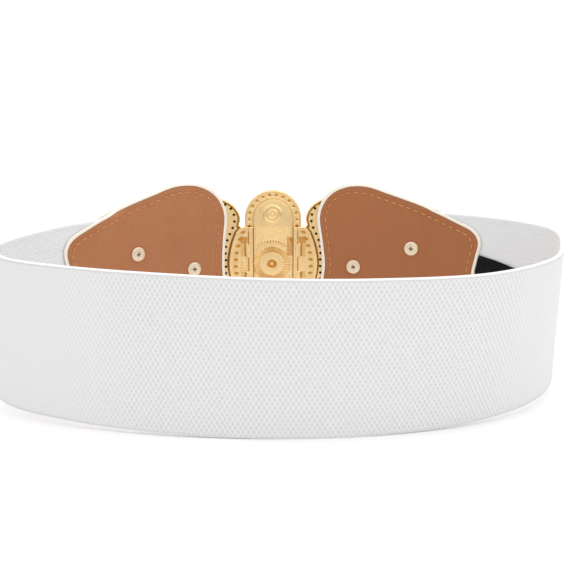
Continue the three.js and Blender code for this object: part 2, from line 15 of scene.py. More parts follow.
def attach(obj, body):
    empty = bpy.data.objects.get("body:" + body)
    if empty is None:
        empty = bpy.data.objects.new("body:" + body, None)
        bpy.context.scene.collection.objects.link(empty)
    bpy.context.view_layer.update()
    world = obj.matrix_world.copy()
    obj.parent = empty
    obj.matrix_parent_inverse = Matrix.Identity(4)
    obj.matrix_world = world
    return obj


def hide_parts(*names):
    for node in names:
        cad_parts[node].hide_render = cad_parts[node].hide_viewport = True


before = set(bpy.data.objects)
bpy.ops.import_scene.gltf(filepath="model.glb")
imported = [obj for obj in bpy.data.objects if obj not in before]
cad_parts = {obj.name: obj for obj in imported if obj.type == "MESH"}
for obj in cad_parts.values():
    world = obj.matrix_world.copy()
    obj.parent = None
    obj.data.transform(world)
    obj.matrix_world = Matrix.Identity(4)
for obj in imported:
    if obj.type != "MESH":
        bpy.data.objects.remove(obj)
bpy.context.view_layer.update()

LOG = logging.getLogger("belt")
MM = 0.001

Outline = list[tuple[float, float]]
Places = np.ndarray


class Side(Enum):
    """Side of the buckle, seen from inside the loop."""

    LEFT = -1
    RIGHT = 1

    @property
    def word(self) -> str:
        """The side's name in a piece's name."""
        return self.name.lower()


@dataclass(frozen=True)
class Loop:
    """The belt's closed loop: flat places (s, t, z) in millimetres bend round it, to metres.

    s runs along the band from the buckle's middle, t outwards from the band's outer face and z
    up from mid-width. Each row of the table is a point of the band's outer face, as shares of
    span and depth, and the wall's lean in degrees.
    """

    span: float = 252.1
    depth: float = 156.8
    steps_a_row: int = 40
    reach: float = 1.0
    turn: tuple[float, float, float, float] = (0.9987224, 0.0503993, 0.0036668, 0.0)
    shift: tuple[float, float, float] = (-7.5192, -2.6121, 37.9506)
    table: tuple[tuple[float, float, float], ...] = (
        (0, 0.499, 0), (0.119, 0.496, 0), (0.246, 0.472, 0), (0.3725, 0.406, 0),
        (0.47, 0.2915, 1.4), (0.524, 0.13, 3), (0.507, -0.0765, 0.3),
        (0.4435, -0.2795, 3.1), (0.318, -0.4305, 4.8), (0.155, -0.495, 0.7),
        (0.0035, -0.4995, -2.2), (-0.158, -0.4585, -4.9), (-0.306, -0.385, -4.8),
        (-0.42, -0.284, -4.2), (-0.467, -0.125, -2.5), (-0.4375, 0.0655, -1),
        (-0.3645, 0.246, 0), (-0.246, 0.3955, 0), (-0.119, 0.4815, 0),
    )

    def path(self) -> Places:
        """Samples of the closed curve through the table.

        Returns:
            Rows of s, x, y and lean in radians, from s = 0 to the loop's whole length.
        """
        knots = np.array(self.table) * (self.span, self.depth, math.radians(1))
        share = np.arange(self.steps_a_row)[:, None] / self.steps_a_row
        rows = []
        for i in range(len(knots)):
            a, b, c, d = (knots[(i + k) % len(knots)] for k in (-1, 0, 1, 2))
            rows.append(0.5 * (
                2 * b + (c - a) * share
                + (2 * a - 5 * b + 4 * c - d) * share ** 2
                + (3 * b - a - 3 * c + d) * share ** 3
            ))
        points = np.vstack([*rows, knots[:1]])
        steps = np.hypot(*np.diff(points[:, :2], axis=0).T)
        return np.column_stack([np.concatenate([[0], np.cumsum(steps)]), points])

    @property
    def length(self) -> float:
        """Length of the loop round the band's outer face."""
        return float(self.path()[-1, 0])

    def bend(self, flat: Places) -> Places:
        """Bends flat places round the loop and stands the loop on its edge.

        Args:
            flat: Rows of s, t and z in millimetres.

        Returns:
            Rows of x, y and z in metres, in the row frame.
        """
        path = self.path()
        total = path[-1, 0]

        def at(s: Places) -> list[Places]:
            return [np.interp(np.mod(s, total), path[:, 0], path[:, k]) for k in (1, 2, 3)]

        s, t, z = flat.T
        x, y, lean = at(s)
        ahead, behind = at(s + self.reach), at(s - self.reach)
        along = np.stack([ahead[0] - behind[0], ahead[1] - behind[1]])
        along /= np.hypot(*along)
        out = t + z * np.tan(lean)
        bent = np.stack([x - along[1] * out, y + along[0] * out, z], axis=1)
        return self.stand(bent)

    def stand(self, points: Places) -> Places:
        """Turns and lifts points of the level belt, in millimetres, to where it rests, in metres."""
        turn = np.array(Quaternion(self.turn).normalized().to_matrix())
        return (points @ turn.T + np.array(self.shift)) * MM


LOOP = Loop()


class Bench:
    """Modelling as by hand: primitives, edit-mode operators and applied modifiers."""

    @staticmethod
    def clear() -> None:
        """Deselects everything."""
        bpy.ops.object.select_all(action="DESELECT")

    @classmethod
    def pick(cls, *pieces: bpy.types.Object) -> None:
        """Selects only these pieces and makes the first one active."""
        cls.clear()
        for piece in pieces:
            piece.select_set(True)
        bpy.context.view_layer.objects.active = pieces[0]

    @classmethod
    @contextmanager
    def edit(cls, piece: bpy.types.Object, mode: str = "FACE") -> Iterator[None]:
        """Edit mode on one piece, with nothing selected at first.

        Args:
            piece: The piece to edit.
            mode: VERT, EDGE or FACE selection.
        """
        cls.pick(piece)
        bpy.ops.object.mode_set(mode="EDIT")
        bpy.ops.mesh.select_mode(type=mode)
        bpy.ops.mesh.select_all(action="DESELECT")
        yield
        bpy.ops.object.mode_set(mode="OBJECT")

    @staticmethod
    def named(name: str) -> bpy.types.Object:
        """The piece just added, under its own name."""
        piece = bpy.context.object
        piece.name = piece.data.name = name
        return piece

    @staticmethod
    def points(piece: bpy.types.Object) -> Places:
        """The piece's vertices as rows."""
        found = np.empty(len(piece.data.vertices) * 3, np.float32)
        piece.data.vertices.foreach_get("co", found)
        return found.reshape(-1, 3).astype(float)

    @staticmethod
    def put(piece: bpy.types.Object, points: Places) -> None:
        """Moves the piece's vertices to these rows."""
        piece.data.vertices.foreach_set("co", np.asarray(points, np.float32).ravel())
        piece.data.update()

    @staticmethod
    def choose_faces(piece: bpy.types.Object, wanted: Callable[[Vector, Vector], bool]) -> None:
        """Selects faces by their centre and normal, in edit mode.

        Args:
            piece: The piece in edit mode.
            wanted: Says from a centre and a normal whether a face is chosen.
        """
        bpy.ops.object.mode_set(mode="OBJECT")
        for face in piece.data.polygons:
            face.select = bool(wanted(face.center, face.normal))
        bpy.ops.object.mode_set(mode="EDIT")

    @staticmethod
    def cap_ends() -> None:
        """Closes the open ends of the piece in edit mode, each with one face."""
        bpy.ops.mesh.select_all(action="SELECT")
        bpy.ops.mesh.region_to_loop()
        bpy.ops.mesh.edge_face_add()

    @classmethod
    def grid(cls, name: str, columns: int, rows: int,
             place: Callable[[Places, Places], Places]) -> bpy.types.Object:
        """A grid laid out by a formula.

        Args:
            name: The piece's name.
            columns: Faces along u.
            rows: Faces along v.
            place: Gives flat places from u and v, both 0 to 1.

        Returns:
            The new piece, in flat places.
        """
        cls.clear()
        bpy.ops.mesh.primitive_grid_add(x_subdivisions=columns, y_subdivisions=rows, size=1)
        piece = cls.named(name)
        u, v, _ = (cls.points(piece) + 0.5).T
        cls.put(piece, place(np.clip(u, 0, 1), np.clip(v, 0, 1)))
        return piece

    @classmethod
    def plate(cls, name: str, outline: Outline, inside: float, outside: float) -> bpy.types.Object:
        """A flat plate of an s, z outline between two t values.

        Args:
            name: The piece's name.
            outline: Corners of the plate as s and z.
            inside: The t of its face inside the loop.
            outside: The t of its face outside the loop.

        Returns:
            The plate, in flat places.
        """
        cls.clear()
        bpy.ops.mesh.primitive_circle_add(vertices=len(outline), fill_type="NGON")
        piece = cls.named(name)
        cls.put(piece, np.array([(s, inside, z) for s, z in outline]))
        with cls.edit(piece):
            bpy.ops.mesh.select_all(action="SELECT")
            bpy.ops.mesh.extrude_region_move(
                TRANSFORM_OT_translate={"value": (0, outside - inside, 0)})
            bpy.ops.mesh.select_all(action="SELECT")
            bpy.ops.mesh.normals_make_consistent(inside=False)
        return piece

    @classmethod
    def inset(cls, piece: bpy.types.Object, facing: int,
              steps: Sequence[tuple[float, float]]) -> None:
        """Insets the flat face on one side of a plate again and again.

        Args:
            piece: The plate.
            facing: -1 for the face inside the loop, 1 for the one outside.
            steps: Width and rise of each inset.
        """
        points = cls.points(piece)
        level = points[:, 1].max() if facing > 0 else points[:, 1].min()
        with cls.edit(piece):
            cls.choose_faces(
                piece, lambda at, out: out.y * facing > 0.9 and abs(at.y - level) < 0.01)
            for width, rise in steps:
                bpy.ops.mesh.inset(thickness=width, depth=rise, use_even_offset=True)

    @classmethod
    def slice(cls, piece: bpy.types.Object, cell: float) -> None:
        """Cuts a plate along s and z so that it can bend.

        Args:
            piece: The plate, in flat places.
            cell: Distance between cuts.
        """
        points = cls.points(piece)
        with cls.edit(piece):
            for axis, normal in ((0, (1, 0, 0)), (2, (0, 0, 1))):
                low, high = points[:, axis].min(), points[:, axis].max()
                count = max(1, round((high - low) / cell))
                for i in range(1, count):
                    place = [0.0, 0.0, 0.0]
                    place[axis] = low + (high - low) * i / count
                    bpy.ops.mesh.select_all(action="SELECT")
                    bpy.ops.mesh.bisect(plane_co=place, plane_no=normal)

    @classmethod
    def merge(cls, piece: bpy.types.Object, near: float = 0.005) -> None:
        """Merges doubles and turns the faces outwards."""
        with cls.edit(piece):
            bpy.ops.mesh.select_all(action="SELECT")
            bpy.ops.mesh.remove_doubles(threshold=near)
            bpy.ops.mesh.normals_make_consistent(inside=False)

    @classmethod
    def close_back(cls, piece: bpy.types.Object, level: float) -> None:
        """Extrudes a relief's open edge back to a level and closes it there.

        Args:
            piece: The open relief, in flat places.
            level: The t of its flat back.
        """
        with cls.edit(piece, "EDGE"):
            bpy.ops.mesh.select_all(action="SELECT")
            bpy.ops.mesh.region_to_loop()
            bpy.ops.mesh.extrude_edges_move(TRANSFORM_OT_translate={"value": (0, 0, 0)})
            bpy.ops.object.mode_set(mode="OBJECT")
            points = cls.points(piece)
            chosen = np.zeros(len(points), bool)
            piece.data.vertices.foreach_get("select", chosen)
            points[chosen, 1] = level
            cls.put(piece, points)
            bpy.ops.object.mode_set(mode="EDIT")
            bpy.ops.mesh.edge_face_add()
            bpy.ops.mesh.select_all(action="SELECT")
            bpy.ops.mesh.normals_make_consistent(inside=False)

    @classmethod
    def modify(cls, piece: bpy.types.Object, kind: str, **settings: object) -> None:
        """Adds a modifier with its settings and applies it."""
        cls.pick(piece)
        modifier = piece.modifiers.new(kind.title(), kind)
        for name, value in settings.items():
            setattr(modifier, name, value)
        bpy.ops.object.modifier_apply(modifier=modifier.name)

    @classmethod
    def join(cls, name: str, pieces: Sequence[bpy.types.Object]) -> bpy.types.Object:
        """Joins pieces into one, under a name."""
        cls.pick(*pieces)
        bpy.ops.object.join()
        return cls.named(name)

    @classmethod
    def cut(cls, piece: bpy.types.Object, cutters: Sequence[bpy.types.Object]) -> None:
        """Cuts a set of cutters out of a piece and removes them."""
        cutter = cls.join("cutter", cutters)
        cls.modify(piece, "BOOLEAN", operation="DIFFERENCE", object=cutter, solver="EXACT")
        bpy.data.objects.remove(cutter)

    @classmethod
    def smooth(cls, piece: bpy.types.Object, angle: float = 35) -> None:
        """Smooth shading, with edges sharper than an angle in degrees kept sharp."""
        cls.pick(piece)
        bpy.ops.object.shade_smooth_by_angle(angle=math.radians(angle))

    @classmethod
    def finish(cls, piece: bpy.types.Object, node: str, slot: str, material: bpy.types.Material,
               outline: Places | None = None) -> bpy.types.Object:
        """Keeps the flat places as an attribute, bends the piece and gives it its finish.

        Args:
            piece: The piece, in flat places and millimetres.
            node: The solid that it stands for, or "" if it only rides along.
            slot: The record's material slot; not used.
            material: The finish.
            outline: Points of the piece's outline, for the attribute edge.

        Returns:
            The same piece, bent round the loop.
        """
        flat = cls.points(piece)
        mesh = piece.data
        mesh.attributes.new("flat", "FLOAT_VECTOR", "POINT").data.foreach_set(
            "vector", flat.astype(np.float32).ravel())
        if outline is not None:
            gap = np.full(len(flat), np.inf)
            for start in range(0, len(flat), 4000):
                part = flat[start:start + 4000, None, ::2]
                gap[start:start + 4000] = np.linalg.norm(part - outline[None], axis=2).min(1)
            mesh.attributes.new("edge", "FLOAT", "POINT").data.foreach_set(
                "value", gap.astype(np.float32))
        cls.put(piece, LOOP.bend(flat))
        mesh.materials.clear()
        mesh.materials.append(material)
        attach(piece, "root")
        if node:
            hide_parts(node)
        LOG.info("%s: %d faces", piece.name, len(mesh.polygons))
        return piece


def smooth_outline(corners: Sequence[tuple[float, float]], spacing: float) -> Places:
    """An even, smooth closed outline through corners (centripetal Catmull-Rom).

    Args:
        corners: The outline's chosen points, in order.
        spacing: Distance between the points returned.

    Returns:
        Rows of s and z.
    """
    knots = np.array(corners, float)
    dense = []
    for i in range(len(knots)):
        p = [knots[(i + k) % len(knots)] for k in (-1, 0, 1, 2)]
        t = [0.0]
        for a, b in zip(p, p[1:]):
            t.append(t[-1] + math.sqrt(max(float(np.linalg.norm(b - a)), 1e-6)))
        for x in np.linspace(t[1], t[2], 24, endpoint=False):
            a = [((t[k + 1] - x) * p[k] + (x - t[k]) * p[k + 1]) / (t[k + 1] - t[k])
                 for k in range(3)]
            b = [((t[k + 2] - x) * a[k] + (x - t[k]) * a[k + 1]) / (t[k + 2] - t[k])
                 for k in range(2)]
            dense.append(((t[2] - x) * b[0] + (x - t[1]) * b[1]) / (t[2] - t[1]))
    closed = np.vstack([dense, dense[:1]])
    return even_points(closed, spacing)[:-1]


def even_points(line: Places, spacing: float) -> Places:
    """Points at even steps along a line, both ends included."""
    run = np.concatenate([[0], np.cumsum(np.hypot(*np.diff(line, axis=0).T))])
    count = max(2, round(run[-1] / spacing))
    wanted = np.linspace(0, run[-1], count + 1)
    return np.stack([np.interp(wanted, run, line[:, k]) for k in (0, 1)], axis=1)


def mirrored(upper: Sequence[tuple[float, float]]) -> list[tuple[float, float]]:
    """A line of s and z points from z = 0 upwards, with its mirror image below put first."""
    lower = [(s, -z) for s, z in reversed(upper) if z > 0]
    return [*lower, *upper]


def inset_line(outline: Places, distance: float) -> Places:
    """A closed outline moved inwards by a distance."""
    ahead, behind = np.roll(outline, -1, axis=0), np.roll(outline, 1, axis=0)
    along = ahead - behind
    along /= np.linalg.norm(along, axis=1, keepdims=True)
    normal = np.stack([-along[:, 1], along[:, 0]], axis=1)
    area = np.sum(outline[:, 0] * ahead[:, 1] - ahead[:, 0] * outline[:, 1])
    return outline + normal * distance * (1 if area > 0 else -1)


def step(low: float, high: float, value: Places) -> Places:
    """A smooth step from 0 at low to 1 at high."""
    share = np.clip((value - low) / (high - low), 0, 1)
    return share * share * (3 - 2 * share)


def window(start: float, full: float, fade: float, end: float, value: Places) -> Places:
    """1 from full to fade, falling smoothly to 0 at start and at end."""
    return step(start, full, value) * (1 - step(fade, end, value))


def hump(middle: float, width: float, value: Places) -> Places:
    """A soft hump of height 1 round a middle."""
    return np.exp(-((value - middle) / width) ** 2)


def round_edge(radius: float) -> list[tuple[float, float]]:
    """Insets and rises of three bands that round a plate's edge."""
    return [(0.134 * radius, 0.5 * radius), (0.366 * radius, 0.366 * radius),
            (0.5 * radius, 0.134 * radius)]


@dataclass(frozen=True)
class Patch:
    """A soft-edged rectangle on a casting's face: start, full, fade and end of each window."""

    across: tuple[float, float, float, float]
    upward: tuple[float, float, float, float]

    def share(self, s: Places, height: Places) -> Places:
        """1 inside the patch and 0 outside it."""
        return window(*self.across, s) * window(*self.upward, height)


@dataclass(frozen=True)
class Spot:
    """A small soft spot on a casting's face, where it dips or where more shade is painted."""

    across: float
    upward: float
    wide: float
    tall: float

    def share(self, s: Places, height: Places) -> Places:
        """1 at the spot's middle, fading to 0 round it."""
        return np.exp(-((s - self.across) / self.wide) ** 2
                      - ((height - self.upward) / self.tall) ** 2)


class Wire:
    """A shader socket that Python expressions can work on."""

    def __init__(self, paint: "Paint", socket: bpy.types.NodeSocket) -> None:
        """Wraps a socket of a material's tree."""
        self.paint = paint
        self.socket = socket

    def _math(self, operation: str, *values: "Wire | float") -> "Wire":
        """One Math node on this tree."""
        return self.paint.node("ShaderNodeMath", {"operation": operation}, *values)

    def __add__(self, other: "Wire | float") -> "Wire":
        """Sum."""
        return self._math("ADD", self, other)

    __radd__ = __add__

    def __mul__(self, other: "Wire | float") -> "Wire":
        """Product."""
        return self._math("MULTIPLY", self, other)

    __rmul__ = __mul__

    def __sub__(self, other: "Wire | float") -> "Wire":
        """Difference."""
        return self._math("SUBTRACT", self, other)

    def __rsub__(self, other: float) -> "Wire":
        """A number less this."""
        return self._math("SUBTRACT", other, self)

    def cos(self) -> "Wire":
        """Cosine."""
        return self._math("COSINE", self)

    def abs(self) -> "Wire":
        """Size without sign."""
        return self._math("ABSOLUTE", self)

    def ramp(self, low: float, high: float) -> "Wire":
        """A smooth step from 0 at low to 1 at high."""
        settings = {"interpolation_type": "SMOOTHSTEP", "clamp": True}
        return self.paint.node("ShaderNodeMapRange", settings, self, low, high, 0.0, 1.0)


Value = Wire | float
Color = tuple[float, float, float]


class Paint:
    """One node-based material under construction."""

    def __init__(self, name: str) -> None:
        """Starts an empty material with its Principled shader."""
        self.material = bpy.data.materials.new(name)
        self.material.use_nodes = True
        self.tree = self.material.node_tree
        self.shader = self.tree.nodes["Principled BSDF"]

    def node(self, kind: str, settings: dict[str, object], *values: object,
             out: int | str = 0, **named: object) -> Wire:
        """Adds a node.

        Args:
            kind: The node's type.
            settings: What is set on the node first, such as an operation.
            *values: Values or links of its sockets, in order; None leaves one as it is.
            out: The output that the result stands for.
            **named: Values or links of sockets by name, with _ for a space.

        Returns:
            The wrapped output.
        """
        node = self.tree.nodes.new(kind)
        for key, value in settings.items():
            setattr(node, key, value)
        pairs = [*enumerate(values), *((key.replace("_", " "), v) for key, v in named.items())]
        for key, value in pairs:
            if value is None:
                continue
            if isinstance(value, Wire):
                self.tree.links.new(value.socket, node.inputs[key])
            else:
                node.inputs[key].default_value = value
        return Wire(self, node.outputs[out])

    def flat(self) -> tuple[Wire, Wire, Wire, Wire]:
        """The flat place as a vector and as s, t and z in millimetres."""
        place = self.node("ShaderNodeAttribute", {"attribute_name": "flat"}, out="Vector")
        parts = [self.node("ShaderNodeSeparateXYZ", {}, place, out=k) for k in range(3)]
        return place, *parts

    def edge(self) -> Wire:
        """Distance from the piece's outline in millimetres."""
        return self.node("ShaderNodeAttribute", {"attribute_name": "edge"}, out="Fac")

    def noise(self, place: Wire, scale: float, detail: float = 2.0,
              roughness: float = 0.5) -> Wire:
        """Soft noise, 0 to 1, with so many blobs a millimetre."""
        return self.node("ShaderNodeTexNoise", {}, Vector=place, Scale=scale, Detail=detail,
                         Roughness=roughness)

    def cells(self, place: Wire, scale: float) -> Wire:
        """Distance to the nearest cell's point, for grain."""
        return self.node("ShaderNodeTexVoronoi", {"feature": "F1"}, Vector=place, Scale=scale)

    def stretch(self, place: Wire, by: tuple[float, float, float]) -> Wire:
        """The place scaled along each axis."""
        return self.node("ShaderNodeVectorMath", {"operation": "MULTIPLY"}, place, by)

    def mix(self, share: Value, first: Color | Wire, second: Color | Wire) -> Wire:
        """A colour between two colours."""
        node = self.tree.nodes.new("ShaderNodeMix")
        node.data_type = "RGBA"
        for key, value in ((0, share), (6, first), (7, second)):
            if isinstance(value, Wire):
                self.tree.links.new(value.socket, node.inputs[key])
            else:
                wide = (*value, 1.0) if isinstance(value, tuple) else value
                node.inputs[key].default_value = wide
        return Wire(self, node.outputs[2])

    def bump(self, height: Wire, distance: float, strength: float = 1.0) -> Wire:
        """A normal from a height that is 1 at so many metres."""
        return self.node("ShaderNodeBump", {}, Height=height, Distance=distance,
                         Strength=strength, out="Normal")

    def set(self, **sockets: object) -> bpy.types.Material:
        """Sets or links sockets of the shader by name, with _ for a space."""
        for key, value in sockets.items():
            socket = self.shader.inputs[key.replace("_", " ")]
            if isinstance(value, Wire):
                self.tree.links.new(value.socket, socket)
            else:
                socket.default_value = (*value, 1.0) if isinstance(value, tuple) else value
        return self.material


@dataclass(frozen=True)
class ElasticFinish:
    """White fishscale elastic: staggered pits outside, fine ribs inside."""

    thread: Color = (0.765, 0.758, 0.755)
    inner: Color = (0.8, 0.815, 0.825)
    # Grey painted as shade in the pits and in the selvage groove; it also tints the inside ribs.
    pit: Color = (0.55, 0.56, 0.575)
    rim: Color = (0.87, 0.87, 0.87)
    pit_run: float = 1.95
    pit_rise: float = 3.25
    rib: float = 1.15

    def material(self, weave_top: float, middle: float) -> bpy.types.Material:
        """The finish as a material.

        Args:
            weave_top: Height above mid-width where the weave ends.
            middle: The s of the band's middle, away from which the weave reads softer and the colour
                is painted darker as shade round the bends.
        """
        paint = Paint("elastic_weave")
        place, s, t, z = paint.flat()
        lattice = (s * (math.tau / self.pit_run)).cos() * (z * (math.tau / self.pit_rise)).cos()
        inside_weave = 1 - z.abs().ramp(weave_top - 0.4, weave_top + 0.2)
        outer = t.ramp(-1.0, -0.8)
        uneven = paint.noise(place, 0.35, 3.0)
        soft = 1 - (s - middle).abs().ramp(62.0, 108.0) * 0.75
        # Painted shade: the pits are painted grey, and towards the bends, where the pits fade, a
        # plain painted shade takes over.
        pits = lattice.ramp(-0.5, 1.0) * inside_weave * outer * soft
        shade = pits * (uneven * 0.5 + 0.34) + (1 - soft) * outer * 0.22
        ribs = (z * (math.tau / self.rib)).cos() * (1 - outer)
        slub = paint.noise(paint.stretch(place, (0.08, 0.3, 1.6)), 1.0, 3.0)
        yarn = paint.noise(paint.stretch(place, (2.2, 1.0, 5.5)), 1.0, 2.0)
        color = paint.mix(shade, paint.mix(outer, self.inner, self.thread), self.pit)
        rim = z.ramp(weave_top + 0.7, weave_top + 0.95)
        color = paint.mix(rim, color, self.rim)
        lip = z.abs().ramp(weave_top + 0.7, weave_top + 0.95)
        # Painted shade: the groove between the weave and the selvage is painted grey.
        groove = z.abs().ramp(weave_top, weave_top + 0.3) * (1 - lip)
        color = paint.mix(groove * outer * 0.35, color, self.pit)
        color = paint.mix((ribs * 0.5 + 0.5) * slub * (1 - outer) * 0.2, color, self.pit)
        height = pits * -0.9 + ribs * 0.3 * slub + yarn * 0.25
        return paint.set(
            Base_Color=color,
            Roughness=0.85 - yarn * 0.1,
            Sheen_Weight=0.15,
            Specular_IOR_Level=0.25,
            Normal=paint.bump(height, 0.00022),
        )


@dataclass(frozen=True)
class LeatherFinish:
    """Grained leather with a pale cut edge."""

    name: str
    face: Color
    shade: Color
    cut: Color
    roughness: float
    cut_width: float = 0.25
    grain: float = 1.3
    # Colour towards the right tab, painted darker as shade; None keeps one colour.
    right_side_shade: Color | None = None
    # Strength of a dark line painted as shade just inside the pale cut edge.
    edge_shade: float = 0.0
    dark: Color = (0.2, 0.1, 0.04)

    def material(self) -> bpy.types.Material:
        """The finish as a material."""
        paint = Paint(self.name)
        place, s, _, _ = paint.flat()
        broad = paint.noise(place, 0.05, 4.0, 0.6)
        fine = paint.noise(place, 0.9, 4.0, 0.65)
        # Painted shade: the colour darkens from the left tab to the right one.
        face = paint.mix(s.ramp(-40.0, 40.0), self.face, self.right_side_shade or self.face)
        pores = paint.cells(place, self.grain)
        creases = paint.cells(paint.stretch(place, (0.5, 0.5, 0.35)), self.grain)
        color = paint.mix(broad.ramp(0.3, 0.8) * 0.3, face, self.shade)
        color = paint.mix(fine.ramp(0.5, 0.8) * 0.35, color, self.shade)
        edge = paint.edge()
        # Painted shade: a dark line just inside the pale cut edge, in the colour dark.
        edge_shade_share = (1 - edge.ramp(self.cut_width + 0.25, self.cut_width + 0.6)) * self.edge_shade
        color = paint.mix(edge_shade_share, color, self.dark)
        color = paint.mix(1 - edge.ramp(self.cut_width - 0.12, self.cut_width), color, self.cut)
        height = pores * 0.6 + creases * 0.5 + fine * 0.4
        return paint.set(
            Base_Color=color,
            Roughness=self.roughness + fine * 0.12,
            Specular_IOR_Level=0.4,
            Normal=paint.bump(height, 0.00012, 0.8),
        )


@dataclass(frozen=True)
class ThreadFinish:
    """Waxed sewing thread, twisted."""

    light: Color = (0.78, 0.37, 0.14)
    dark: Color = (0.6, 0.26, 0.09)

    def material(self) -> bpy.types.Material:
        """The finish as a material."""
        paint = Paint("stitch_thread")
        place, s, _, z = paint.flat()
        twist = ((s + z) * 9.0).cos()
        tone = paint.noise(place, 0.8, 2.0)
        color = paint.mix(tone.ramp(0.3, 0.7), self.light, self.dark)
        return paint.set(
            Base_Color=color,
            Roughness=0.6,
            Specular_IOR_Level=0.35,
            Normal=paint.bump(twist, 0.00006),
        )


@dataclass(frozen=True)
class MetalFinish:
    """Plated cast metal, with shade painted darker and warmer where its relief is deep and near black
    in its deepest pits and gaps.
    """

    name: str
    face: Color
    # Colour of the shade painted into deep relief.
    deep: Color
    black: Color
    roughness: float
    scratch: float = 0.06

    def material(self) -> bpy.types.Material:
        """The finish as a material."""
        paint = Paint(self.name)
        place, _, _, _ = paint.flat()
        depth = paint.node("ShaderNodeAttribute", {"attribute_name": "deep"}, out="Fac")
        mottle = paint.noise(place, 0.5, 4.0, 0.6)
        fine = paint.noise(place, 3.0, 3.0)
        # Painted shade: the attribute deep darkens the colour towards deep, and near black at its
        # deepest.
        color = paint.mix(mottle.ramp(0.3, 0.8) * 0.2 + depth.ramp(0.05, 0.6), self.face,
                          self.deep)
        color = paint.mix(depth.ramp(0.6, 1.0), color, self.black)
        return paint.set(
            Base_Color=color,
            Metallic=1.0,
            Roughness=self.roughness + mottle * 0.12 + depth * 0.2,
            Normal=paint.bump(fine * self.scratch + mottle * 0.1, 0.0002, 0.5),
        )


@dataclass(frozen=True)
class LabelFinish:
    """Black satin-woven label."""

    face: Color = (0.004, 0.004, 0.006)
    light: Color = (0.012, 0.012, 0.015)

    def material(self) -> bpy.types.Material:
        """The finish as a material."""
        paint = Paint("label_weave")
        place, s, _, z = paint.flat()
        weft = (z * (math.tau / 0.35)).cos()
        warp = (s * (math.tau / 0.5)).cos()
        tone = paint.noise(place, 0.7, 3.0)
        color = paint.mix(tone.ramp(0.3, 0.8), self.face, self.light)
        return paint.set(
            Base_Color=color,
            Roughness=0.75,
            Specular_IOR_Level=0.15,
            Normal=paint.bump(weft * 0.6 + warp * 0.3, 0.00008),
        )


@dataclass(frozen=True)
class FloorFinish:
    """Plain pale studio floor."""

    face: Color = (0.97, 0.97, 0.97)

    def material(self) -> bpy.types.Material:
        """The finish as a material."""
        return Paint("studio_floor").set(Base_Color=self.face, Roughness=0.9,
                                         Specular_IOR_Level=0.1)


GOLD = MetalFinish("buckle_gold", (0.95, 0.71, 0.36), (0.6, 0.27, 0.05), (0.06, 0.027, 0.009), 0.28)
NICKEL = MetalFinish("screw_nickel", (0.9, 0.76, 0.57), (0.3, 0.24, 0.17), (0.05, 0.04, 0.03), 0.34)


@dataclass(frozen=True)
class ElasticBand:
    """The elastic strip with its woven face, grooved selvages and ribbed inside."""

    width: float = 60.0
    thickness: float = 1.8
    end: float = 89.0
    weave_rows: int = 36
    pit_depth: float = 0.14
    weave_floor: float = 0.4
    weave_fade: float = 0.7
    fade_span: tuple[float, float] = (62.0, 108.0)
    rim_rise: float = 0.6
    rim_span: tuple[float, float] = (28.4, 30.0)
    inner_rows: tuple[float, ...] = (27.0, 14.0, 0.0)
    rim: tuple[tuple[float, float], ...] = (
        (-0.02, -0.7), (-0.16, -0.62), (-0.2, -0.52), (0.02, -0.4), (0.12, -0.24), (0.1, -0.08),
        (-0.2, 0), (-0.9, 0.06), (-1.6, -0.05), (-2.05, -0.6), (-1.85, -1.3),
    )
    finish: ElasticFinish = ElasticFinish()

    @property
    def weave_top(self) -> float:
        """Height above mid-width where the weave ends."""
        return self.weave_rows * self.finish.pit_rise / 4

    def section(self) -> Places:
        """Half of the section, from mid-height outside over the top to mid-height inside."""
        face = [(0.0, self.finish.pit_rise / 4 * i) for i in range(self.weave_rows + 1)]
        rim = [(t, self.width / 2 + z) for t, z in self.rim]
        inner = [(-self.thickness, z) for z in self.inner_rows]
        return np.array(face + rim + inner)

    def build(self) -> bpy.types.Object:
        """Models, bends and dresses the band."""
        upper = self.section()
        lower = upper[1:-1][::-1] * (1, -1)
        loop = np.vstack([upper, lower, upper[:1]])
        run = LOOP.length - 2 * self.end
        columns = round(run / (self.finish.pit_run / 4))
        shares = np.linspace(0, 1, len(loop))

        def place(u: Places, v: Places) -> Places:
            t = np.interp(v, shares, loop[:, 0])
            z = np.interp(v, shares, loop[:, 1])
            s = self.end + u * run
            lattice = (np.cos(math.tau * s / self.finish.pit_run)
                       * np.cos(math.tau * z / self.finish.pit_rise))
            woven = (t > -0.01) & (np.abs(z) <= self.weave_top)
            soft = 1 - self.weave_fade * step(*self.fade_span, np.abs(s - LOOP.length / 2))
            woven_share = self.weave_floor + (1 - self.weave_floor) * lattice * soft
            t = t - np.where(woven, self.pit_depth * woven_share, 0)
            z = z + self.rim_rise * step(*self.rim_span, z)
            return np.stack([s, t, z], axis=1)

        piece = Bench.grid("belt_elastic", columns, len(loop) - 1, place)
        Bench.merge(piece, 0.002)
        with Bench.edit(piece, "EDGE"):
            Bench.cap_ends()
            bpy.ops.mesh.select_all(action="SELECT")
            bpy.ops.mesh.normals_make_consistent(inside=False)
        Bench.smooth(piece, 60)
        material = self.finish.material(self.weave_top, LOOP.length / 2)
        return Bench.finish(piece, "elastic_band", "elastic", material)


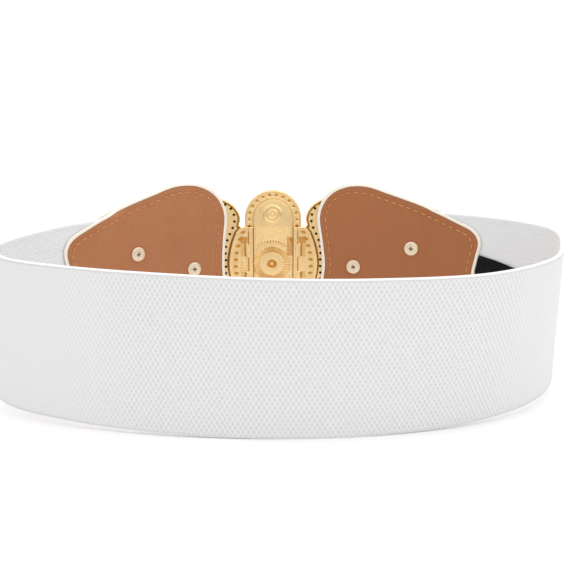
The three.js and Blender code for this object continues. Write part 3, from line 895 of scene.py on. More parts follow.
@dataclass(frozen=True)
class LeatherTab:
    """One shaped tab: white outer leather, tan lining and the stitching through both."""

    side: Side
    start: float = 24.4
    length: float = 92.0
    half_height: float = 45.5
    side_length: tuple[float, float] = (0.976, 1.025)
    slip: float = 0.5
    outer_inside: float = 0.3
    outer_thickness: float = 1.4
    lining_thickness: float = 1.2
    lining_inset: float = 0.1
    margin: float = 1.6
    slant_margin: float = 0.5
    rounding: float = 0.4
    cell: float = 3.0
    spacing: float = 1.1
    seam: float = 3.0
    stitch_pitch: float = 4.2
    stitch_length: float = 3.0
    stitch_radius: float = 0.36
    inner_slip: tuple[float, float] = (0.8, -0.4)
    band_end: float = 89.0
    band_half: float = 30.0
    ramp_start: float = 79.35
    ramp_gap: float = 0.3
    skirt_gap: float = 1.2
    skirt: float = 3.0
    lining_drop: float = 2.1
    outer_edge: tuple[tuple[float, float], ...] = (
        (0.97, 0), (0.986, 0.2), (1, 0.36), (0.986, 0.45), (0.948, 0.53), (0.841, 0.62),
        (0.727, 0.71), (0.574, 0.82), (0.419, 0.92), (0.335, 0.977), (0.28, 1),
    )
    inner_edge: tuple[tuple[float, float], ...] = (
        (0.22, 1), (0.164, 0.977), (0.1, 0.92), (0.044, 0.82), (0.014, 0.71),
        (0.002, 0.62), (0, 0.53), (0.01, 0.36), (0.018, 0.2), (0.024, 0),
    )

    def outline(self) -> Places:
        """The tab's smooth outline as s and z: the left tab reads a little longer."""
        left = -self.side.value
        upper = [*self.outer_edge, *self.inner_edge]
        lower = [(s, -z) for s, z in reversed(upper[1:-1])]
        start = self.start + self.slip * left
        length = self.length * self.side_length[self.side is Side.LEFT]
        corners = []
        for s, z in [*upper, *lower]:
            lower_top = 0.022 * step(0.3, 0.8, abs(z)) * step(0.1, 0.25, s)
            height = self.half_height * (1 + 0.012 * left * (z > 0) - lower_top)
            waist = max(0.0, 1 - abs(z) / 0.5) if s < 0.1 else 0.0
            shift = self.inner_slip[self.side is Side.LEFT] * waist
            corners.append((start + s * length + shift, z * height))
        line = smooth_outline(corners, self.spacing)
        return line * (self.side.value, 1)

    def sheet(self, name: str, outline: Places, inside: float, outside: float,
              seam: float, margin: float = 0.0) -> bpy.types.Object:
        """A leather sheet with rounded edges and a sewn line pressed in on both faces.

        Args:
            name: The piece's name.
            outline: Its outline as s and z.
            inside: The t of its face inside the loop.
            outside: The t of its face outside the loop.
            seam: Distance of the sewn line from the outline.
            margin: Width of a lower strip round the inside face, or 0 for none.
        """
        soft = self.rounding
        piece = Bench.plate(name, [tuple(p) for p in outline], inside + soft, outside - soft)
        edge = round_edge(soft)
        sewn = [(seam - soft - 0.75, 0.0), (0.4, -0.1), (0.35, -0.1), (0.35, 0.1), (0.4, 0.1),
                (0.9, 0.05)]
        for facing in (-1, 1):
            lead = sewn
            if margin and facing < 0:
                rest = seam - margin - 0.85
                lead = [(margin - soft, 0.0), (0.1, 0.12), (rest, 0.0), *sewn[1:]]
            Bench.inset(piece, facing, [*edge, *lead])
        Bench.slice(piece, self.cell)
        return piece

    def lining_step(self, s: Places, z: Places) -> Places:
        """How far the lining steps inwards to pass over the band's tucked end."""
        ramp = step(self.ramp_start, self.band_end - self.ramp_gap, np.abs(s))
        edge = self.band_half + self.skirt_gap
        skirt = 1 - step(edge, edge + self.skirt, np.abs(z))
        return ramp * skirt * self.lining_drop

    def stitches(self, outline: Places) -> bpy.types.Object:
        """The stitches of one tab, on the lining's face and on the outer leather's."""
        sides, rings = 6, 6
        line = inset_line(outline, self.margin + self.seam)
        closed = even_points(np.vstack([line, line[:1]]), self.stitch_pitch)
        radius = self.stitch_radius

        def place(u: Places, v: Places) -> Places:
            along = (u - 0.5) * self.stitch_length
            swell = np.sqrt(np.clip(1 - np.abs(2 * u - 1) ** 3, 0.02, 1))
            angle = v * math.tau
            lift = radius * 0.35 - 0.45 * np.abs(2 * u - 1) ** 2.5
            return np.stack([along, radius * swell * np.cos(angle) + lift,
                             radius * swell * np.sin(angle)], axis=1)

        model = Bench.grid("stitch", rings, sides, place)
        Bench.merge(model, 0.001)
        with Bench.edit(model, "EDGE"):
            Bench.cap_ends()
        base = Bench.points(model)
        copies = []
        faces = ((self.outer_inside + self.outer_thickness - 0.1, 1, 0.0),
                 (-self.lining_thickness - 0.1, -1, 1.0))
        for spot, ahead in zip(closed[:-1], closed[1:]):
            along = (ahead - spot) / np.linalg.norm(ahead - spot)
            middle = (spot + ahead) / 2
            for level, facing, stepped in faces:
                copy = model.copy()
                copy.data = model.data.copy()
                bpy.context.collection.objects.link(copy)
                shift = stepped * self.lining_step(middle[:1], middle[1:])[0]
                s = middle[0] + base[:, 0] * along[0] - base[:, 2] * along[1]
                z = middle[1] + base[:, 0] * along[1] + base[:, 2] * along[0]
                t = level + facing * base[:, 1] - shift
                Bench.put(copy, np.stack([s, t, z], axis=1))
                copies.append(copy)
        bpy.data.objects.remove(model)
        piece = Bench.join(f"stitching_{self.side.word}", copies)
        Bench.merge(piece, 0.0005)
        Bench.smooth(piece, 60)
        return piece

    def build(self, outer: bpy.types.Material, lining: bpy.types.Material,
              thread: bpy.types.Material) -> list[bpy.types.Object]:
        """Models, bends and dresses the tab's pieces.

        Args:
            outer: Finish of the white outer leather.
            lining: Finish of the tan lining.
            thread: Finish of the stitching.

        Returns:
            The outer leather, the lining and the stitching.
        """
        word = self.side.word
        outline = self.outline()
        outside = self.outer_inside + self.outer_thickness
        skin = self.sheet(f"leather_{word}", outline, self.outer_inside, outside,
                          self.margin + self.seam)
        Bench.smooth(skin, 50)
        Bench.finish(skin, f"tab_outer_{word}", "outer_leather", outer, outline)
        inner = inset_line(outline, self.lining_inset)
        tan = self.sheet(f"lining_{word}", inner, -self.lining_thickness, 0.0,
                         self.margin + self.seam - self.lining_inset,
                         self.margin - self.lining_inset)
        flat = Bench.points(tan)
        flat[:, 1] -= self.lining_step(flat[:, 0], flat[:, 2])
        Bench.put(tan, flat)
        Bench.smooth(tan, 50)
        reach, height = np.abs(inner).T
        slanted = step(12, 20, height) * step(34, 46, reach) * np.clip((116 - reach) / 30, 0, 1)
        shown = inset_line(inner, -self.slant_margin * slanted[:, None])
        Bench.finish(tan, f"tab_lining_{word}", "lining_leather", lining, shown)
        seam = self.stitches(outline)
        Bench.finish(seam, "", "lining_leather", thread)
        return [skin, tan, seam]


def paint_shade(piece: bpy.types.Object, deep: Places) -> None:
    """Keeps how much shade is painted on each vertex, 0 to 1, more where the relief is deep, for the
    metal's finish.
    """
    piece.data.attributes.new("deep", "FLOAT", "POINT").data.foreach_set(
        "value", deep.astype(np.float32))


@dataclass(frozen=True)
class Screw:
    """Flat-headed screw with a cross recess."""

    side: Side
    name: str
    reach: float
    rise: float
    head_radius: float = 3.75
    head_height: float = 1.0
    shank_radius: float = 1.4
    seat: float = -1.5
    tip: float = 3.3
    cross_length: float = 3.0
    cross_width: float = 0.95
    cross_depth: float = 0.65

    def build(self, finish: bpy.types.Material) -> bpy.types.Object:
        """Models, bends and dresses the screw."""
        Bench.clear()
        bpy.ops.mesh.primitive_cylinder_add(
            vertices=32, radius=self.head_radius, depth=self.head_height * 0.6)
        head = Bench.named(f"screw_head_{self.side.word}_{self.name}")
        top = self.head_height * 0.3
        with Bench.edit(head):
            Bench.choose_faces(head, lambda at, out: out.z > 0.9)
            for width, rise in ((0.12, 0.12), (0.25, 0.1), (0.6, 0.1), (1.0, 0.06), (0.9, 0.02)):
                bpy.ops.mesh.inset(thickness=width, depth=rise)
            Bench.choose_faces(head, lambda at, out: out.z < -0.9)
            bpy.ops.mesh.inset(thickness=self.head_radius - self.shank_radius, depth=0)
            bpy.ops.mesh.extrude_region_move(
                TRANSFORM_OT_translate={"value": (0, 0, self.seat - self.tip)})
        cutters = []
        for angle in (0, 90):
            Bench.clear()
            bpy.ops.mesh.primitive_cube_add(size=1)
            bar = Bench.named("bar")
            size = (self.cross_length, self.cross_width)
            wide, deep = size if angle == 0 else size[::-1]
            points = Bench.points(bar) * (wide, deep, 2 * self.cross_depth)
            points[:, 2] += top + 0.4
            taper = np.where(points[:, 2] < top, 0.6, 1.0)
            points[:, :2] *= taper[:, None]
            Bench.put(bar, points)
            cutters.append(bar)
        for bar in cutters:
            Bench.modify(head, "BOOLEAN", operation="DIFFERENCE", object=bar, solver="EXACT")
            bpy.data.objects.remove(bar)
        local = Bench.points(head)
        radius = np.hypot(local[:, 0], local[:, 1])
        floor = (radius < self.cross_length / 2 + 0.05) & (local[:, 2] < top + 0.15)
        # Painted shade on the floor of the cross recess.
        recess_shade = np.where(floor & (local[:, 2] > -0.2), 0.7, 0.0)
        level = self.seat - self.head_height * 0.3
        s = self.side.value * self.reach + local[:, 0]
        Bench.put(head, np.stack([s, level - local[:, 2], self.rise + local[:, 1]], axis=1))
        Bench.merge(head, 0.001)
        paint_shade(head, recess_shade)
        Bench.smooth(head, 30)
        node = f"screw_{self.side.word}_{self.name}"
        return Bench.finish(head, node, "screw_metal", finish)


@dataclass(frozen=True)
class BuckleHalf:
    """One cast half of the buckle: the wing outside the tab and its half-moon catch plate."""

    side: Side
    wing_inside: float = 2.0
    wing_outside: float = 4.6
    rounding: float = 0.5
    cell: float = 3.0
    pit_radius: float = 0.86
    pit_depth: float = 1.4
    pit_pitch: float = 3.8
    catch_inside: float = -1.2
    catch_outside: float = 0.6
    catch_half: float = 20.5
    rail_start: float = 11.0
    rail_end: float = 13.3
    rail_rise: float = 0.7
    foot_start: float = 15.8
    bead_shift: float = 0.7
    catch_rows: int = 170
    catch_columns: int = 56
    catch_round: float = 0.4
    hollow: Patch = Patch((14.2, 14.5, 17.7, 18.2), (3.8, 4.4, 15.2, 15.6))
    pocket: Patch = Patch((13.9, 14.2, 17.9, 18.2), (11.4, 11.8, 15.2, 15.6))
    slot: Patch = Patch((15.0, 15.15, 15.75, 15.95), (4.2, 4.6, 12.0, 12.4))
    block: Patch = Patch((12.0, 12.2, 14.8, 15.0), (3.9, 4.2, 10.9, 11.2))
    comb: Patch = Patch((13.8, 14.0, 17.3, 17.6), (-6.4, -6.0, 2.4, 2.8))
    tooth_pitch: float = 1.5
    # Spots where more shade is painted: the pocket's corner, and a small dip.
    pocket_corner: Spot = Spot(17.4, 14.6, 0.8, 0.8)
    edge_spot: Spot = Spot(18.4, 10.6, 0.75, 0.75)
    wing_edge: tuple[tuple[float, float], ...] = (
        (84, 0), (83.2, 7), (80.5, 14.4), (75.8, 20.6), (72, 24), (67, 27.8), (60, 31.6),
        (52, 34), (42, 36), (34, 36.7), (28.3, 36), (24.2, 34), (21, 31.6), (18.5, 27.8),
        (17.7, 24), (18.4, 20.8), (17.2, 19.4), (16.2, 17.5), (16.2, 8), (16.2, 0),
    )
    pit_line: tuple[tuple[float, float], ...] = (
        (25.7, 0), (25.9, 4), (25.9, 8), (25.2, 12), (23.8, 15.6), (22, 19.2), (20.8, 22.9),
        (21, 26.7), (22.7, 30.3), (25.7, 32.5),
    )
    catch_edge: tuple[tuple[float, float], ...] = (
        (24.4, 0), (24.1, 4), (23.3, 8.5), (22, 13), (20.2, 17.6), (17.8, 20.5),
    )

    def wing(self) -> bpy.types.Object:
        """The wing plate with rounded edges and its row of pits."""
        lower = [(s, -z) for s, z in reversed(self.wing_edge[1:-1])]
        outline = smooth_outline([*self.wing_edge, *lower], 1.3) * (self.side.value, 1)
        inside, outside = self.wing_inside + self.rounding, self.wing_outside - self.rounding
        piece = Bench.plate("wing", [tuple(p) for p in outline], inside, outside)
        edge = round_edge(self.rounding)
        Bench.inset(piece, -1, [*edge, (0.12, 0.0), (0.1, -0.5), (0.6, 0.0), (0.12, 0.5)])
        front = [(1.0, 0.0), (0.4, -0.35), (0.9, 0.0), (0.5, 0.45)]
        Bench.inset(piece, 1, [*edge, *front])
        places = even_points(np.array(mirrored(self.pit_line)), self.pit_pitch)
        cutters = []
        for s, z in places:
            Bench.clear()
            bpy.ops.mesh.primitive_cylinder_add(vertices=14, radius=self.pit_radius,
                                                depth=2 * self.pit_depth)
            pit = Bench.named("pit")
            local = Bench.points(pit)
            local[:, :2] *= np.where(local[:, 2:3] > 0, 0.75, 1.0)
            Bench.put(pit, np.stack([self.side.value * s + local[:, 0],
                                     self.wing_inside + local[:, 2], z + local[:, 1]], axis=1))
            Bench.merge(pit, 0.001)
            cutters.append(pit)
        Bench.cut(piece, cutters)
        Bench.slice(piece, self.cell)
        flat = Bench.points(piece)
        near = np.min([np.hypot(flat[:, 0] - self.side.value * s, flat[:, 2] - z)
                       for s, z in places], axis=0)
        inner_side = flat[:, 1] < self.wing_inside + self.pit_depth + 0.1
        # Painted shade: the pits are painted near black.
        deep = np.where(inner_side & (near < self.pit_radius * 1.02)
                        & (flat[:, 1] > self.wing_inside + 0.02), 1.0, 0.0)
        groove = flat[:, 1] - self.wing_inside
        rim = np.min(np.linalg.norm(flat[:, None, ::2] - outline[None], axis=2), axis=1) > 0.35
        # Painted shade: the groove near the inner face's rim is painted dark.
        deep = np.maximum(deep, np.where(inner_side & rim & (groove > 0.3) & (groove < 0.6), 0.76, 0))
        paint_shade(piece, deep)
        return piece

    def relief(self, s: Places, z: Places, edge: Places) -> tuple[Places, Places]:
        """Rise of the catch plate's face towards the loop's inside, and the shade painted on it, 0 to
        1.

        Args:
            s: Distance from the buckle's middle.
            z: Height from mid-width.
            edge: Distance from the curved outer edge.
        """
        height = np.abs(z)
        beads = window(2.2, 2.45, 4.7, 5.0, edge)
        rise = -0.3 + 0.42 * (1 - step(2.1, 2.4, edge)) + 0.3 * step(4.8, 5.2, edge)
        # The deep values are painted shade, darkest in the pits, the pocket, the slot and the spot.
        deep = 0.16 * beads
        lobe = 0.5 + 0.5 * np.cos(math.tau * (z - self.bead_shift) / self.pit_pitch)
        gap = np.hypot((edge - 3.6) / 1.3, (np.mod(z - self.bead_shift, self.pit_pitch)
                                           - self.pit_pitch / 2) / 0.85)
        pit = 1 - step(0.75, 1.15, gap)
        rise += beads * (0.3 * lobe - 0.5 * pit)
        deep = np.maximum(deep, 0.55 * pit * beads)
        deep = np.maximum(deep, 0.3 * window(1.95, 2.15, 2.3, 2.5, edge))
        rail = 1 - step(self.rail_end - 0.2, self.rail_end + 0.1, s)
        rise = np.where(rail > 0, np.maximum(rise, self.rail_rise * rail), rise)
        seam = step(self.rail_end - 0.1, self.rail_end + 0.15, s)
        seam *= 1 - step(self.rail_end + 0.4, self.rail_end + 0.7, s)
        deep = np.maximum(deep, 0.5 * seam * (1 - step(18.0, 18.6, height)))
        hollow = self.hollow.share(s, height)
        pocket = self.pocket.share(s, height)
        slot = self.slot.share(s, height)
        rise -= 0.45 * hollow
        rise = np.where(pocket > 0, rise * (1 - pocket) - 1.1 * pocket, rise)
        rise -= 0.4 * slot
        deep = np.maximum(deep, 0.27 * hollow)
        corner = self.pocket_corner.share(s, height)
        deep = np.maximum(deep, (0.42 + 0.25 * corner) * pocket)
        deep = np.maximum(deep, 0.6 * slot)
        spot = self.edge_spot.share(s, height)
        rise -= 0.4 * spot
        deep = np.maximum(deep, 0.62 * spot)
        block = self.block.share(s, height)
        rise = np.maximum(rise, 0.85 * block)
        deep *= 1 - block
        if self.side is Side.LEFT:
            comb = self.comb.share(s, z)
            teeth = 0.5 + 0.5 * np.cos(math.tau * z / self.tooth_pitch)
            rise = np.where(comb > 0, np.maximum(rise, comb * (0.1 + 0.4 * teeth)), rise)
            deep = np.maximum(deep, 0.3 * comb * (1 - teeth))
        return rise, deep

    def catch(self) -> bpy.types.Object:
        """The half-moon plate with its rail, pocket and pits, the foot under it and a thin strip
        along its edge, both painted dark as shade.
        """
        curve = np.array(mirrored(self.catch_edge))

        def place(u: Places, v: Places) -> Places:
            z = (v * 2 - 1) * self.catch_half
            outer = np.interp(z, curve[:, 1], curve[:, 0])
            s = self.rail_start + u * (outer - self.rail_start)
            corner = np.minimum(outer - s, self.catch_half - np.abs(z))
            rise, _ = self.relief(s, z, outer - s)
            fall = np.minimum(corner, s - self.rail_start)
            near = 1 - np.clip(fall / self.catch_round, 0, 1)
            rounded = self.catch_round * (1 - np.sqrt(np.clip(1 - near ** 2, 0, 1)))
            t = self.catch_inside - rise + rounded
            return np.stack([self.side.value * s, t, z], axis=1)

        piece = Bench.grid("catch", self.catch_columns, self.catch_rows, place)
        flat = Bench.points(piece)
        s, z = np.abs(flat[:, 0]), flat[:, 2]
        outer = np.interp(z, curve[:, 1], curve[:, 0])
        _, deep = self.relief(s, z, outer - s)
        paint_shade(piece, deep)
        Bench.close_back(piece, self.catch_outside)
        foot = [(self.foot_start, -self.catch_half + 1), *((s - 1.2, z * 0.97) for s, z in curve),
                (self.foot_start, self.catch_half - 1)]
        base = Bench.plate("foot", [(self.side.value * s, z) for s, z in foot],
                           self.catch_outside - 0.3, self.wing_inside + 0.3)
        # Painted shade: the foot is painted dark.
        paint_shade(base, np.full(len(base.data.vertices), 0.8))
        # Painted shade: a thin dark strip on the wing along the half-moon's edge.
        shadow_strip = [(self.foot_start, -self.catch_half + 1), *((s + 0.75, z * 0.99) for s, z in curve),
                 (self.foot_start, self.catch_half - 1)]
        strip = Bench.plate("shadow_strip", [(self.side.value * s, z) for s, z in shadow_strip],
                            self.wing_inside - 0.2, self.wing_inside + 0.4)
        paint_shade(strip, np.full(len(strip.data.vertices), 0.76))
        return Bench.join("catch", [piece, base, strip])

    def build(self, finish: bpy.types.Material) -> bpy.types.Object:
        """Models, bends and dresses the buckle half."""
        word = self.side.word
        piece = Bench.join(f"wing_and_catch_{word}", [self.wing(), self.catch()])
        Bench.smooth(piece, 32)
        return Bench.finish(piece, f"buckle_half_{word}", "buckle_metal", finish)


@dataclass(frozen=True)
class Medallion:
    """The tall centre piece: pitted border, raised panel, ringed bosses and a sunburst."""

    half_width: float = 15.2
    half_height: float = 40.1
    inside: float = 0.9
    outside: float = 3.5
    border: float = 4.4
    panel_rise: float = 1.5
    front_rise: float = 1.2
    pits: int = 14
    pit_pitch: float = 3.8
    boss_height: float = 27.5
    sun_radius: float = 9.9
    sun_shift: float = -0.8
    sun_rays: int = 48
    scale_start: float = 14.0
    scale_row: float = 1.15
    scale_width: float = 1.5
    arc_ticks: int = 52
    recess: Patch = Patch((7.7, 8.0, 10.2, 10.5), (3.6, 4.6, 14.6, 15.4))
    # Spot where the recess is painted darker as shade.
    recess_mark: Spot = Spot(9.9, 13.3, 0.7, 0.9)
    around: int = 470
    panel_rows: int = 330
    panel_columns: int = 104

    def ring(self, share: Places, inset: Places) -> tuple[Places, Places]:
        """Points of the stadium moved inwards.

        Args:
            share: Place round the outline, 0 to 1.
            inset: Distance inwards from the outline.
        """
        radius = self.half_width
        middle = self.half_height - radius
        straight, arc = 2 * middle, math.pi * radius
        run = np.mod(share, 1) * 2 * (straight + arc)
        second = run >= straight + arc
        run = np.where(second, run - straight - arc, run)
        angle = np.clip((run - straight) / arc, 0, 1) * math.pi
        on_side = run < straight
        inner = radius - inset
        s = np.where(on_side, inner, inner * np.cos(angle))
        z = np.where(on_side, run - middle, middle + inner * np.sin(angle))
        flip = np.where(second, -1, 1)
        return s * flip, z * flip

    def pit_places(self) -> list[tuple[float, float]]:
        """Centres of the border's pits, round both ends."""
        radius = self.half_width - 2.3
        middle = self.half_height - self.half_width
        found = []
        for k in range(self.pits):
            run = (k - (self.pits - 1) / 2) * self.pit_pitch
            quarter = radius * math.pi / 2
            if abs(run) <= quarter:
                spot = (radius * math.sin(run / radius), middle + radius * math.cos(run / radius))
            else:
                spot = (math.copysign(radius, run), middle - (abs(run) - quarter))
            found += [spot, (spot[0], -spot[1])]
        return found

    def border_relief(self, s: Places, z: Places, inset: Places) -> tuple[Places, Places]:
        """Rise of the border towards the loop's inside, and the shade painted on it, 0 to 1."""
        rise = 0.15 * (1 - step(0.7, 1.1, inset)) + 0.12 * step(3.5, 3.9, inset)
        # Painted reflection and shade: the rounded rim reads darker, and the pits and the step down
        # to the panel are painted dark.
        deep = 0.26 * window(0.15, 0.4, 0.8, 1.2, inset)
        for pit_s, pit_z in self.pit_places():
            dx, dz = s - pit_s, np.abs(z) - abs(pit_z)
            gap = np.maximum(np.abs(dx) * 0.87 + dz * 0.5, -dz) * 1.25
            pit = 1 - step(0.5, 1.0, gap)
            same = np.sign(z) == np.sign(pit_z)
            rise = np.where(same, rise - 0.55 * pit, rise)
            deep = np.where(same, np.maximum(deep, 0.46 * pit), deep)
        deep = np.maximum(deep, 0.34 * step(self.border - 0.5, self.border - 0.1, inset))
        return rise, deep

    def panel_relief(self, s: Places, z: Places, inset: Places) -> tuple[Places, Places]:
        """Rise of the panel towards the loop's inside, and the shade painted on it, 0 to 1."""
        height = np.abs(z)
        rise = np.full_like(s, self.panel_rise)
        rise -= 0.4 * (1 - np.sqrt(1 - np.clip(1 - inset / 0.4, 0, 1) ** 2))
        line = hump(0.95, 0.2, inset) * step(8.0, 12.0, height)
        rise -= 0.16 * line
        # The deep values are painted shade in the panel's grooves, rings, scales, ticks, rays and
        # recess.
        deep = np.maximum(0.22 * line, 0.3 * (1 - step(0.0, 0.3, inset)))
        field = step(1.2, 1.5, inset)
        out = np.hypot(s + 0.3, height - self.boss_height)
        boss = 1 - step(5.2, 5.6, out)
        rings = (0.5 * hump(4.5, 0.5, out) + 0.4 * hump(2.2, 0.45, out)
                 + 0.4 * hump(0.0, 0.75, out) + 0.1)
        dips = hump(3.35, 0.5, out) + hump(1.25, 0.35, out)
        rise += field * boss * rings
        deep = np.maximum(deep, field * boss * 0.26 * np.clip(dips, 0, 1))
        across = s - self.sun_shift
        radius = np.hypot(across, z)
        angle = np.arctan2(z, across)
        scales = step(13.6, 14.0, radius) * (1 - step(20.4, 21.2, height)) * (1 - boss) * field
        row = (radius - self.scale_start) / self.scale_row
        around = math.tau * (self.scale_start + self.scale_row * np.floor(row))
        count = np.round(around / self.scale_width)
        lobes = np.abs(np.cos(angle * count / 2 + math.pi / 2 * np.mod(np.floor(row), 2)))
        scale = np.mod(row, 1) - 0.55 * lobes
        rise += 0.2 * scales * scale
        deep = np.maximum(deep, 0.3 * scales * hump(0.0, 0.16, scale))
        arcs = window(11.6, 11.9, 13.2, 13.6, radius) * field
        ticks = 0.5 + 0.5 * np.cos(angle * self.arc_ticks)
        rise += 0.35 * arcs * ticks
        deep = np.maximum(deep, 0.42 * arcs * (1 - step(0.1, 0.6, ticks)))
        sun = 1 - step(self.sun_radius, self.sun_radius + 0.3, radius)
        rays = 0.5 + 0.5 * np.cos(angle * self.sun_rays)
        fluted = step(6.2, 6.8, radius)
        core = 1 - step(2.3, 2.7, radius)
        spot = 1 - step(0.6, 1.1, radius)
        face = 0.7 - 0.5 * fluted * (1 - rays) + 0.12 * np.cos(radius * 1.6) * (1 - fluted)
        face = face * (1 - core) + core * (0.1 + 0.5 * spot)
        rise += sun * face
        sun_shade = np.maximum(0.3 * fluted * (1 - step(0.1, 0.6, rays)),
                              0.5 * core * (1 - spot))
        deep = deep * (1 - sun) + sun_shade * sun
        recess = self.recess.share(s, z)
        rise -= 0.45 * recess
        mark = self.recess_mark.share(s, z)
        deep = np.maximum(deep, recess * (0.34 + 0.36 * mark))
        return rise, deep

    def face(self, name: str, insets: Places, level: Callable[[Places, Places, Places], Places],
             ) -> bpy.types.Object:
        """One face of the plate as rings of points that shrink to its middle line.

        Args:
            name: The piece's name.
            insets: Distances of the rings from the outline, from 0 to the half width.
            level: Gives t from s, z and inset.
        """
        rings = np.linspace(0, 1, len(insets))

        def place(u: Places, v: Places) -> Places:
            inset = np.interp(v, rings, insets)
            s, z = self.ring(u, inset)
            return np.stack([s, level(s, z, inset), z], axis=1)

        piece = Bench.grid(name, self.around, len(insets) - 1, place)
        Bench.merge(piece, 0.03)
        return piece

    def rounding(self, inset: Places) -> Places:
        """How far a face falls back near its rounded edge."""
        near = 1 - np.clip(inset / 0.5, 0, 1)
        return 0.5 * (1 - np.sqrt(1 - near ** 2))

    def plate(self) -> bpy.types.Object:
        """The plate with its pitted border behind and its plain domed front."""
        fine = np.concatenate([
            [0, 0.07, 0.25, 0.5], np.arange(0.75, self.border + 0.4, 0.25),
            [6.5, 9.5, 12.5, self.half_width],
        ])
        coarse = np.array([0, 0.07, 0.25, 0.5, 1.2, 1.6, 1.8, 2.0, 2.3, 2.8, 3.6, 5, 7, 9.5, 12,
                           self.half_width])

        def back(s: Places, z: Places, inset: Places) -> Places:
            rise, _ = self.border_relief(s, z, inset)
            return self.inside - rise + self.rounding(inset)

        def front(_s: Places, _z: Places, inset: Places) -> Places:
            lip = 0.35 * (1 - step(1.6, 2.0, inset))
            dome = self.front_rise * np.sqrt(np.clip((inset - 2.2) / (self.half_width - 2.2), 0, 1))
            return self.outside + lip + dome - self.rounding(inset)

        inner = self.face("medallion_back", fine, back)
        flat = Bench.points(inner)
        beyond = np.clip(np.abs(flat[:, 2]) - (self.half_height - self.half_width), 0, None)
        inset = self.half_width - np.hypot(flat[:, 0], beyond)
        paint_shade(inner, self.border_relief(flat[:, 0], flat[:, 2], inset)[1])
        outer = self.face("medallion_front", coarse, front)
        paint_shade(outer, np.zeros(len(outer.data.vertices)))
        piece = Bench.join("medallion_plate", [inner, outer])
        with Bench.edit(piece, "EDGE"):
            bpy.ops.mesh.select_non_manifold(extend=False, use_wire=False, use_multi_face=False,
                                             use_non_contiguous=False, use_verts=False)
            bpy.ops.mesh.bridge_edge_loops()
            bpy.ops.mesh.select_all(action="SELECT")
            bpy.ops.mesh.normals_make_consistent(inside=False)
        return piece

    def panel(self) -> bpy.types.Object:
        """The raised panel with its bosses, scales and sunburst."""
        wide, tall = self.half_width - self.border, self.half_height - self.border
        middle = tall - wide

        def half(z: Places) -> Places:
            beyond = np.clip(np.abs(z) - middle, 0, None)
            return np.sqrt(np.clip(wide ** 2 - beyond ** 2, 0, None))

        def parts(s: Places, z: Places) -> tuple[Places, Places]:
            inset = wide - np.hypot(s, np.clip(np.abs(z) - middle, 0, None))
            return self.panel_relief(s, z, inset)

        def place(u: Places, v: Places) -> Places:
            z = (v * 2 - 1) * tall
            s = (u * 2 - 1) * half(z)
            rise, _ = parts(s, z)
            return np.stack([s, self.inside - rise, z], axis=1)

        piece = Bench.grid("panel", self.panel_columns, self.panel_rows, place)
        Bench.merge(piece, 0.01)
        flat = Bench.points(piece)
        paint_shade(piece, parts(flat[:, 0], flat[:, 2])[1])
        Bench.close_back(piece, self.inside + 0.4)
        return piece

    def build(self, finish: bpy.types.Material) -> bpy.types.Object:
        """Models, bends and dresses the medallion."""
        piece = Bench.join("medallion_cast", [self.plate(), self.panel()])
        Bench.smooth(piece, 40)
        return Bench.finish(piece, "medallion", "buckle_metal", finish)


@dataclass(frozen=True)
class Label:
    """Bare woven label inside the band, beside the right tab."""

    near: float = 114.2
    far: float = 164.2
    half_height: float = 6.8
    rise: float = 3.2
    fall: float = 0.16
    gap: float = 0.2
    inside: float = -3.0
    outside: float = -2.15
    thickness: float = 0.45
    bevel: float = 0.12
    rows: int = 14
    columns: int = 60

    def build(self, tab: LeatherTab, finish: bpy.types.Material) -> bpy.types.Object:
        """Models, bends and dresses the label.

        Args:
            tab: The tab that its near end lies against.
            finish: The label's finish.
        """
        edge = tab.outline()
        edge = edge[edge[:, 0] > tab.start + tab.length / 2]
        edge = edge[np.argsort(edge[:, 1])]

        def place(u: Places, v: Places) -> Places:
            share = v * 2 - 1
            start = np.interp(share * self.half_height + self.rise, edge[:, 1], edge[:, 0])
            s = start + self.gap + u * (self.far - start - self.gap)
            z = share * self.half_height + self.rise - self.fall * (s - self.near)
            wave = 0.12 * np.sin(s * 0.35) * np.abs(share)
            return np.stack([s, self.outside - 0.25 - wave, z], axis=1)

        piece = Bench.grid("label_bare", self.columns, self.rows, place)
        Bench.modify(piece, "SOLIDIFY", thickness=self.thickness, offset=0.0)
        Bench.modify(piece, "BEVEL", width=self.bevel, segments=2, limit_method="ANGLE")
        Bench.smooth(piece, 40)
        return Bench.finish(piece, "label", "label_cloth", finish)


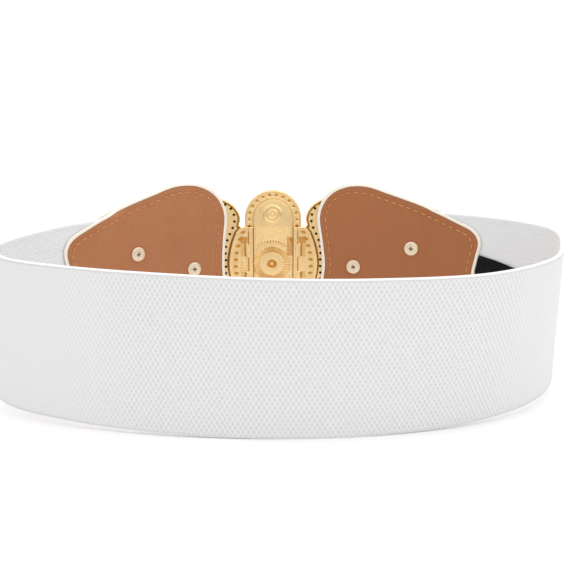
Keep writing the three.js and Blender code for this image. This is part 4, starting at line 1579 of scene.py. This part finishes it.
@dataclass(frozen=True)
class Studio:
    """Floor, light and the photo's camera."""

    camera: tuple[float, float, float] = (9.2, -351.4, 100.0)
    pitch: float = 15.0
    lens: float = 49.66
    sensor: float = 36.0
    floor_size: float = 4.0
    world: Color = (1.0, 1.0, 1.0)
    world_strength: float = 1.04
    soft_boxes: tuple[tuple[str, tuple[float, float, float], float, float], ...] = (
        ("top_box", (0.2, -0.1, 1.3), 0.8, 3.6),
        ("front_box", (0.9, -0.9, 0.8), 0.4, 1.0),
        ("back_box", (-0.5, 1.2, 0.8), 0.4, 0.9),
    )

    def build(self) -> None:
        """Makes the floor, the lights and the camera."""
        scene = bpy.context.scene
        scene.view_settings.view_transform = "Standard"
        Bench.clear()
        bpy.ops.mesh.primitive_plane_add(size=self.floor_size)
        floor = Bench.named("studio_floor")
        floor.data.materials.append(FloorFinish().material())
        world = bpy.data.worlds.new("studio_light")
        scene.world = world
        world.use_nodes = True
        background = world.node_tree.nodes["Background"]
        background.inputs["Color"].default_value = (*self.world, 1)
        background.inputs["Strength"].default_value = self.world_strength
        for name, place, size, power in self.soft_boxes:
            light = bpy.data.lights.new(name, "AREA")
            light.size = size
            light.energy = power
            box = bpy.data.objects.new(name, light)
            bpy.context.collection.objects.link(box)
            box.location = place
            aim = Vector((0, 0, 0.04)) - Vector(place)
            box.rotation_mode = "QUATERNION"
            box.rotation_quaternion = aim.to_track_quat("-Z", "Y")
        turn = Quaternion(LOOP.turn).normalized().to_matrix()
        tilt = Matrix.Rotation(math.radians(90 - self.pitch), 3, "X")
        data = bpy.data.cameras.new("photo_camera")
        data.lens = self.lens
        data.sensor_width = self.sensor
        data.clip_start = 0.01
        camera = bpy.data.objects.new("photo_camera", data)
        bpy.context.collection.objects.link(camera)
        camera.rotation_mode = "QUATERNION"
        camera.location = Vector(LOOP.stand(np.array([self.camera]))[0])
        camera.rotation_quaternion = (turn @ tilt).to_quaternion()
        scene.camera = camera


# Name of each screw on one side, its reach from the buckle's middle and its rise.
SCREWS = (("inner", 44, -1.1), ("upper", 75.3, 10.3), ("lower", 75.3, -10.3))


def main() -> None:
    """Builds the belt and the studio round it."""
    logging.basicConfig(level=logging.INFO, format="%(message)s")
    Studio().build()
    ElasticBand().build()
    outer = LeatherFinish("outer_leather", (0.92, 0.88, 0.82), (0.85, 0.8, 0.72),
                          (0.92, 0.82, 0.7), 0.5).material()
    lining = LeatherFinish("tan_lining", (0.45, 0.18, 0.073), (0.35, 0.13, 0.052),
                           (0.9, 0.84, 0.75), 0.55, cut_width=1.56, edge_shade=0.4,
                           right_side_shade=(0.39, 0.138, 0.048)).material()
    thread = ThreadFinish().material()
    gold, nickel = GOLD.material(), NICKEL.material()
    for side in Side:
        LeatherTab(side).build(outer, lining, thread)
        BuckleHalf(side).build(gold)
        for name, reach, rise in SCREWS:
            Screw(side, name, reach, rise).build(nickel)
    Medallion().build(gold)
    Label().build(LeatherTab(Side.RIGHT), LabelFinish().material())


if __name__ == "__main__":
    main()
